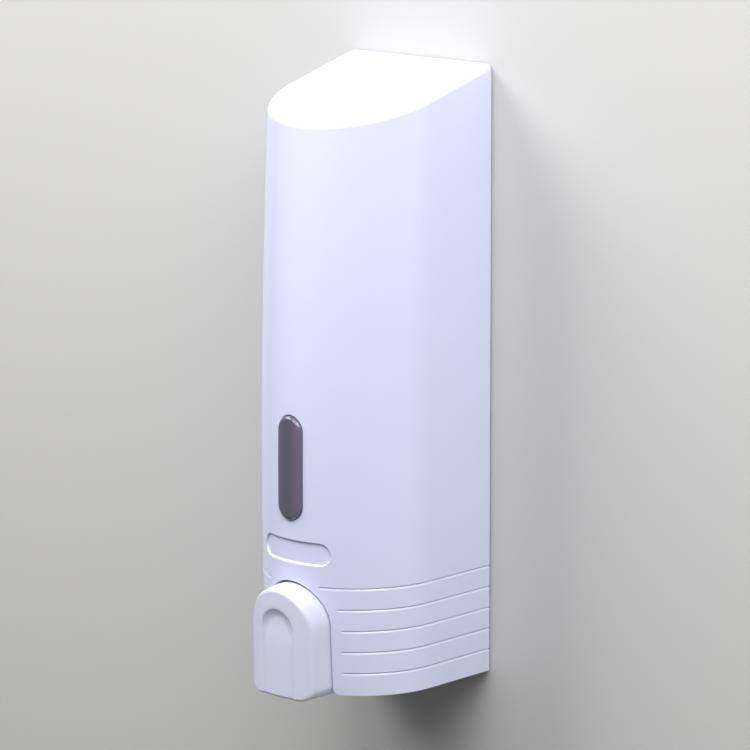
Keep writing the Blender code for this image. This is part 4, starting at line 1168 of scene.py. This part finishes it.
def make_lid_seal():
    """A soft frame with rounded corners and edges around the tank's mouth."""
    low, high = TANK_TOP + GAP, LID_FOOT - GAP
    section = rounded([(0.001, low), (SEAL, low), (SEAL, high), (0.001, high)], 0.25)
    half, back, front = MOUTH_HALF + SEAL_MARGIN, MOUTH_BACK - SEAL_MARGIN, MOUTH_FRONT + SEAL_MARGIN
    loops = []
    for inset, height in section:
        radius = SEAL_CORNER - inset
        corners = ((half, back, 270), (half, front, 0), (-half, front, 90), (-half, back, 180))
        loop = []
        for x, depth, turn in corners:
            cx = x - np.sign(x) * SEAL_CORNER
            cy = depth + (SEAL_CORNER if depth == back else -SEAL_CORNER)
            loop += [(px, py, height) for px, py in quarter(cx, cy, radius, turn)]
        loops.append(loop)
    return loft("seal_frame", loops, ring=True)


def make_clip(name, side):
    """An angle with a web at each side of its corner and a screw hole."""
    foot, x = TANK_TOP + GAP, sorted((side * CLIP_IN, side * CLIP_OUT))
    inner, level = CLIP_BACK + CLIP, foot + CLIP
    outline = [(CLIP_BACK, foot), (CLIP_FRONT, foot), (CLIP_FRONT, level), (inner, level)]
    outline += [(inner, CLIP_TOP), (CLIP_BACK, CLIP_TOP)]
    clip = prism_x(name, outline, x, 0.35)
    webs = []
    for start in (x[0] + 0.4, x[1] - 1.3):
        web = [(inner - 0.5, level - 0.5), (CLIP_FRONT - 1, level - 0.5), (inner - 0.5, level + 4)]
        webs.append(prism_x("web", web, (start, start + 0.9), 0.15))
    boolean(clip, "UNION", *webs)
    at = facing(sum(x) / 2, CLIP_SCREW_HEIGHT)
    return boolean(clip, "DIFFERENCE", rod("hole", SCREW_BORE, CLIP_BACK - 1, inner + 1, at, 0, 48))


# The wall plate


def side_rail(side):
    """A rail whose lip holds the cover's lugs."""
    outline = [(RAIL_IN, PLATE / 2), (RAIL_OUT, PLATE / 2), (RAIL_OUT, LIP_DEPTH), (LIP_OUT, LIP_DEPTH)]
    outline += [(LIP_OUT, RAIL_DEPTH), (RAIL_IN, RAIL_DEPTH)]
    loops = [[(side * x, d, h) for x, d in outline] for h in (RAIL_FOOT, RAIL_TOP)]
    return soften(loft("rail", loops), 0.3)


def plate_pieces():
    """Everything that stands on the plate's base."""
    heights = (SHELF_TOP - SHELF, SHELF_TOP)
    shelf = box("shelf", (-SHELF_HALF, SHELF_HALF), (PLATE - 1.1, SHELF_DEPTH), heights, 0.5)
    made = [shelf]
    for side in (-1, 1):
        made.append(side_rail(side))
        x = side * (SHELF_HALF - 2)
        under, tip = SHELF_TOP - SHELF / 2, SHELF_DEPTH - 6.2
        root = PLATE - 0.9
        web = [(root, SHELF_TOP - 25), (root, under), (tip, under), (tip, SHELF_TOP - 6)]
        made.append(prism_x("gusset", web, (x - 1, x + 1), 0.4))
        x = sorted((side * (RAIL_OUT - 0.7), side * (LIP_OUT - 0.15)))
        made.append(box("stop", x, (PLATE - 0.6, RAIL_DEPTH - 1), (RAIL_FOOT + 0.2, STOP_TOP), 0.25))
        for x, height, end in BOSSES:
            at = facing(side * x, height)
            made.append(rod("boss", BOSS, PLATE - 0.5, end - GAP, at, 0.3, 48))
        wide = (side * UPRIGHT_RIB - RIB_HALF, side * UPRIGHT_RIB + RIB_HALF)
        made.append(box("rib", wide, (PLATE - 0.8, PLATE + 1.5), RIB_SPAN, 0.25))
    for height in CROSS_RIBS:
        wide, tall = (-RAIL_IN - 0.5, RAIL_IN + 0.5), (height - RIB_HALF, height + RIB_HALF)
        made.append(box("rib", wide, (PLATE - 0.7, PLATE + 1.1), tall, 0.25))
    return made


def plate_cuts():
    """The notch for the pump, the screw holes and two shallow panels in the back."""
    way = (PORT_DEPTH, SHELF_DEPTH + 1)
    heights = (SHELF_TOP - 2 * SHELF, SHELF_TOP + 1)
    made = [rod("notch", NOTCH, *heights, PORT_AXIS, 0), box("way", (-NOTCH, NOTCH), way, heights, 0)]
    for side in (-1, 1):
        for x, height, end in BOSSES:
            at = facing(side * x, height)
            made.append(rod("hole", SCREW_BORE, PLATE + GAP, end + 1, at, 0, 48))
        x = side * KEYHOLE_X
        made.append(rod("key", KEYHOLE_RADIUS, -1, PLATE + 1, facing(x, KEYHOLE_HEIGHT), 0, 48))
        top = KEYHOLE_HEIGHT + KEYHOLE_RADIUS + 8 - KEYHOLE_SLOT
        slot = slot_loop(x, KEYHOLE_HEIGHT, x, top, KEYHOLE_SLOT)
        made.append(loft("slot", [[(px, d, h) for px, h in slot[:-1]] for d in (-1, PLATE + 1)]))
        cone = [(0, -1), (SCREW_HOLE, -1), (SCREW_HOLE, PLATE - 0.9), (SCREW_HOLE + 1.4, PLATE + 0.5)]
        cone.append((0, PLATE + 0.5))
        made.append(turned("hole", cone, 0, 48, at=facing(x, SCREW_HOLE_HEIGHT)))
    wide, depths = (-BACK_PANEL, BACK_PANEL), (-1, PANEL_DEPTH)
    return made + [box("panel", wide, depths, heights, 0) for heights in PANEL_HEIGHTS]


def make_plate():
    """A thin plate with soft edges, rails, a shelf, bosses, stiffening ribs and its openings."""
    base = box("plate_shell", (-PLATE_HALF, PLATE_HALF), (0, PLATE), (0, PLATE_TOP), 0.35)
    for piece in plate_pieces():
        boolean(base, "UNION", piece)
    for piece in plate_cuts():
        boolean(base, "DIFFERENCE", piece)
    return base


def make_inner_pieces():
    """The remaining pieces, by the CAD node that each one stands for."""
    pieces = {
        "wall_plate": make_plate(),
        "reservoir": make_tank(),
        "refill_lid": make_lid(),
        "lid_seal": make_lid_seal(),
        "lid_hinge_pin": rod("hinge_pin", HINGE_PIN, -EAR_OUT, EAR_OUT, HINGE_AXIS, 0.4, 48),
        "pump_body": make_pump_body(),
        "gland_cap": make_gland_cap(),
        "rod_wiper": make_rod_wiper(),
        "piston_seal": make_piston_seal(),
        "plunger": make_plunger(),
        "return_spring": make_spring(),
        "button_pin": rod("cross_pin", PIN_RADIUS, -BOSS_RADIUS, BOSS_RADIUS, PIN_AXIS, 0.35, 48),
        "ball_cage": make_ball_cage(),
        "valve_seat": make_valve_seat(),
        "inlet_ball": make_ball(),
        "union_nut": make_union_nut(),
        "outlet_gasket": make_gasket(),
        "outlet_valve": make_outlet_valve(),
        "nozzle": make_nozzle(),
    }
    for side, word in ((-1, "left"), (1, "right")):
        pieces["reservoir_clip_" + word] = make_clip("angle_clip_" + word, side)
        at = (side * CLIP_X, CLIP_SCREW_HEIGHT, CLIP_BACK + CLIP + GAP)
        pieces["clip_screw_" + word] = make_screw("small_screw_" + word, *at, CLIP_SCREW)
        at = (side * PUMP_SCREW_X, PUMP_HEIGHT, FOOT_DEPTH + FOOT + GAP)
        pieces["pump_screw_" + word] = make_screw("long_screw_" + word, *at, PUMP_SCREW)
    return pieces


# Materials


def principled(name, color, roughness, **inputs):
    made = bpy.data.materials.new(name)
    made.use_nodes = True
    shader = made.node_tree.nodes["Principled BSDF"]
    shader.inputs["Base Color"].default_value = (*color, 1)
    shader.inputs["Roughness"].default_value = roughness
    for socket, value in inputs.items():
        shader.inputs[socket.replace("_", " ")].default_value = value
    return made, shader


def add_node(tree, kind, output, links, **values):
    """Adds a node, fills its inputs from other nodes' outputs and with values, and gives an output."""
    node = tree.nodes.new("ShaderNode" + kind)
    for socket, value in values.items():
        node.inputs[socket.replace("_", " ")].default_value = value
    for socket, source in links.items():
        tree.links.new(source, node.inputs[socket])
    return node.outputs[output]


def ramp_between(tree, value, low, high, start=0.0, end=1.0):
    """A colour ramp from one colour to another, driven by a value."""
    color = add_node(tree, "ValToRGB", "Color", {"Fac": value})
    elements = color.node.color_ramp.elements
    elements[0].position, elements[1].position = start, end
    elements[0].color, elements[1].color = (*low, 1), (*high, 1)
    return color


def noise(tree, scale, detail, stretch=(1, 1, 1)):
    """Noise in the piece's own space; its scale is in features to the metre."""
    spot = add_node(tree, "TexCoord", "Object", {})
    spot = add_node(tree, "Mapping", "Vector", {"Vector": spot}, Scale=stretch)
    return add_node(tree, "TexNoise", "Fac", {"Vector": spot}, Scale=scale, Detail=detail)


def spread(tree, value, low, high):
    """Maps noise to a range of values."""
    limits = {"From_Min": 0.3, "From_Max": 0.7, "To_Min": low, "To_Max": high}
    return add_node(tree, "MapRange", "Result", {"Value": value}, **limits)


def moulded(name, color, roughness, grain, depth, cloud, stretch=(1, 1, 1), gloss=0.1, **inputs):
    """A moulded surface: faintly cloudy colour, uneven gloss and a fine grain.

    The grain is in features to the metre and its depth in millimetres."""
    made, shader = principled(name, color, roughness, **inputs)
    tree = made.node_tree
    dark, light = [c * (1 - cloud) for c in color], [min(1, c * (1 + cloud)) for c in color]
    clouds = ramp_between(tree, noise(tree, 45, 4), dark, light, 0.35, 0.65)
    tree.links.new(clouds, shader.inputs["Base Color"])
    fine = noise(tree, grain, 2, stretch)
    uneven = spread(tree, fine, roughness * (1 - gloss), roughness * (1 + gloss))
    tree.links.new(uneven, shader.inputs["Roughness"])
    bump = add_node(tree, "Bump", "Normal", {"Height": fine}, Strength=1.0, Distance=depth * MM)
    tree.links.new(bump, shader.inputs["Normal"])
    return made


def painted_sheen_across(made, middle, edge, half):
    """Blends a material's colour from the object's middle plane out to a half width in x, as a painted
    sheen.
    """
    tree = made.node_tree
    spot = add_node(tree, "TexCoord", "Object", {})
    across = add_node(tree, "SeparateXYZ", "X", {"Vector": spot})
    reach = add_node(tree, "Math", "Value", {0: across})
    reach.node.operation = "ABSOLUTE"
    share = add_node(tree, "MapRange", "Result", {"Value": reach}, From_Max=half * MM)
    share.node.interpolation_type = "SMOOTHSTEP"
    color = ramp_between(tree, share, middle, edge)
    tree.links.new(color, tree.nodes["Principled BSDF"].inputs["Base Color"])


def make_materials():
    """One material for each slot of the record."""
    made = {}

    def add(name, *look, **more):
        made[name] = moulded(name, *look, **more)

    add("cover_white", (0.72, 0.735, 0.95), 0.26, 700, 0.001, 0.004, gloss=0.03, Coat_Weight=0.2)
    # The button's colour is a darker, greyer copy of the cover's: painted shade for its front, which faces
    # forward and down.
    add("button_white", (0.70, 0.71, 0.86), 0.30, 700, 0.001, 0.005, gloss=0.04)
    add("plate_white", (0.74, 0.75, 0.80), 0.42, 900, 0.003, 0.01, gloss=0.05)
    more = {"Transmission_Weight": 0.35, "Coat_Weight": 0.5}
    add("lens_smoke", (0.19, 0.178, 0.24), 0.1, 500, 0.001, 0.03, gloss=0.05, **more)
    more = {"Transmission_Weight": 0.85, "IOR": 1.35}
    add("tank_clear", (0.93, 0.95, 0.96), 0.16, 260, 0.01, 0.01, gloss=0.04, **more)
    more = {"Subsurface_Weight": 0.1, "Subsurface_Scale": 0.004}
    add("natural_plastic", (0.80, 0.79, 0.76), 0.36, 900, 0.003, 0.02, gloss=0.05, **more)
    add("grey_plastic", (0.30, 0.32, 0.36), 0.4, 900, 0.004, 0.03, gloss=0.05)
    more = {"Subsurface_Weight": 0.2, "Subsurface_Scale": 0.003}
    add("silicone", (0.68, 0.70, 0.71), 0.5, 900, 0.004, 0.02, **more)
    add("black_rubber", (0.03, 0.03, 0.034), 0.6, 2600, 0.02, 0.1)
    add("steel", (0.68, 0.68, 0.70), 0.26, 1500, 0.004, 0.02, (1, 1, 6), Metallic=1.0)
    # Painted sheen: the lens gets lighter and more purple towards its sides, in place of reflections on its
    # rounded edges.
    painted_sheen_across(made["lens_smoke"], (0.16, 0.16, 0.205), (0.25, 0.215, 0.31), WINDOW_HALF)
    return made


# The stage, the lights and the camera


def plane(name, corners, hole=None):
    """A rectangle from four corners, with a rectangular hole."""
    verts = [Vector(c) for c in corners] + [Vector(c) for c in hole or ()]
    faces = [[i, (i + 1) % 4, (i + 1) % 4 + 4, i + 4] for i in range(4)] if hole else [[0, 1, 2, 3]]
    made = new_object(name, verts, faces)
    return made


def make_stage():
    """A pale floor, and a pale wall that is open behind the plate and unseen from behind."""
    wide, low, high = STAGE_HALF, STAGE_FLOOR, WALL_TOP
    back = WALL_GAP * MM

    def corners(half, foot, top):
        return [(-half, back, foot), (half, back, foot), (half, back, top), (-half, back, top)]

    hole = ((PLATE_HIGH.x - 1) * MM, (PLATE_LOW.z + 1) * MM, (PLATE_HIGH.z - 1) * MM)
    wall = plane("wall", corners(wide, low, high), corners(*hole))
    made, shader = principled("wall_paint", WALL_COLOR, 0.7)
    tree = made.node_tree
    clear = add_node(tree, "BsdfTransparent", 0, {})
    side = add_node(tree, "NewGeometry", "Backfacing", {})
    mix = add_node(tree, "MixShader", 0, {0: side, 1: shader.outputs[0], 2: clear})
    tree.links.new(mix, tree.nodes["Material Output"].inputs["Surface"])
    wall.data.materials.append(made)
    ground = [(-wide, -wide, low), (wide, -wide, low), (wide, wide, low), (-wide, wide, low)]
    floor = plane("floor", ground)
    floor.data.materials.append(principled("floor_paint", FLOOR_COLOR, 0.6)[0])


def area_light(name, azimuth, elevation, distance, size, power):
    """A soft square light that points at the dispenser; azimuth 0 is straight in front of it."""
    light = bpy.data.lights.new(name, "AREA")
    light.size = size
    light.energy = power
    level, turn = cos(radians(elevation)), radians(azimuth)
    way = Vector((sin(turn) * level, -cos(turn) * level, sin(radians(elevation))))
    made = bpy.data.objects.new(name, light)
    made.location = way * distance
    made.rotation_euler = (-way).to_track_quat("-Z", "Y").to_euler()
    made.visible_camera = False
    bpy.context.scene.collection.objects.link(made)


def make_lights():
    area_light("left_light", -52, 40, 1.0, 0.6, 8.8)
    area_light("front_light", 15, 46, 0.95, 0.6, 4.8)
    area_light("right_light", 62, 43, 1.0, 0.6, 7.6)
    area_light("back_light", 205, 25, 1.0, 0.8, 8)
    world = bpy.data.worlds.new("studio")
    world.use_nodes = True
    background = world.node_tree.nodes["Background"]
    background.inputs["Color"].default_value = (0.93, 0.94, 1.0, 1)
    background.inputs["Strength"].default_value = 0.08
    bpy.context.scene.world = world
    bpy.context.scene.view_settings.view_transform = "Standard"


def make_camera():
    """A long lens to the right of the dispenser and a little above its middle."""
    azimuth, elevation, distance, target = 0.756221, 0.196146, 6.403415, -0.15
    turn, tilt, roll = -0.004432, 0.000675, -0.001819
    tall = HEIGHT * MM  # the distance and the target's Y are in heights of the dispenser
    outward_way = Vector((sin(azimuth) * cos(elevation), -cos(azimuth) * cos(elevation), sin(elevation)))
    eye = outward_way * distance * tall + Vector((0, target * tall, 0))
    yaw, pitch = azimuth + turn, elevation + tilt
    ahead = Vector((-sin(yaw) * cos(pitch), cos(yaw) * cos(pitch), -sin(pitch)))
    level = Vector((cos(yaw), sin(yaw), 0))
    above = level.cross(ahead)
    right = level * cos(roll) + above * sin(roll)
    above = above * cos(roll) - level * sin(roll)
    data = bpy.data.cameras.new("camera")
    data.lens = 190.05
    data.sensor_width = 36
    data.clip_start, data.clip_end = 0.05, 20
    camera = bpy.data.objects.new("camera", data)
    camera.matrix_world = Matrix((
        (right.x, above.x, -ahead.x, eye.x),
        (right.y, above.y, -ahead.y, eye.y),
        (right.z, above.z, -ahead.z, eye.z),
        (0, 0, 0, 1),
    ))
    bpy.context.scene.collection.objects.link(camera)
    bpy.context.scene.camera = camera


# Everything together


def stand_in(made, *nodes):
    """Puts a piece in the place of CAD nodes: on their body, with their material."""
    node = nodes[0]
    slot = SLOTS[node]
    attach(made, frame["nodes"][node]["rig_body"])
    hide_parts(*nodes)
    made.data.materials.clear()
    made.data.materials.append(MATERIALS[slot])
    return made


SLOTS = {part["node"]: part["material_slot"] for part in frame["record"]["subparts"]}
MATERIALS = make_materials()
for name, node in frame["nodes"].items():
    node.data.materials.clear()
    node.data.materials.append(MATERIALS[SLOTS[name]])
stand_in(make_cover(), "front_cover")
stand_in(make_button(), "push_button")
stand_in(make_lens(), "window_lens")
for node, piece in make_inner_pieces().items():
    stand_in(piece, node)
spring = bpy.data.objects["spring_coil"]
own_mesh(spring)
make_stage()
make_lights()
make_camera()
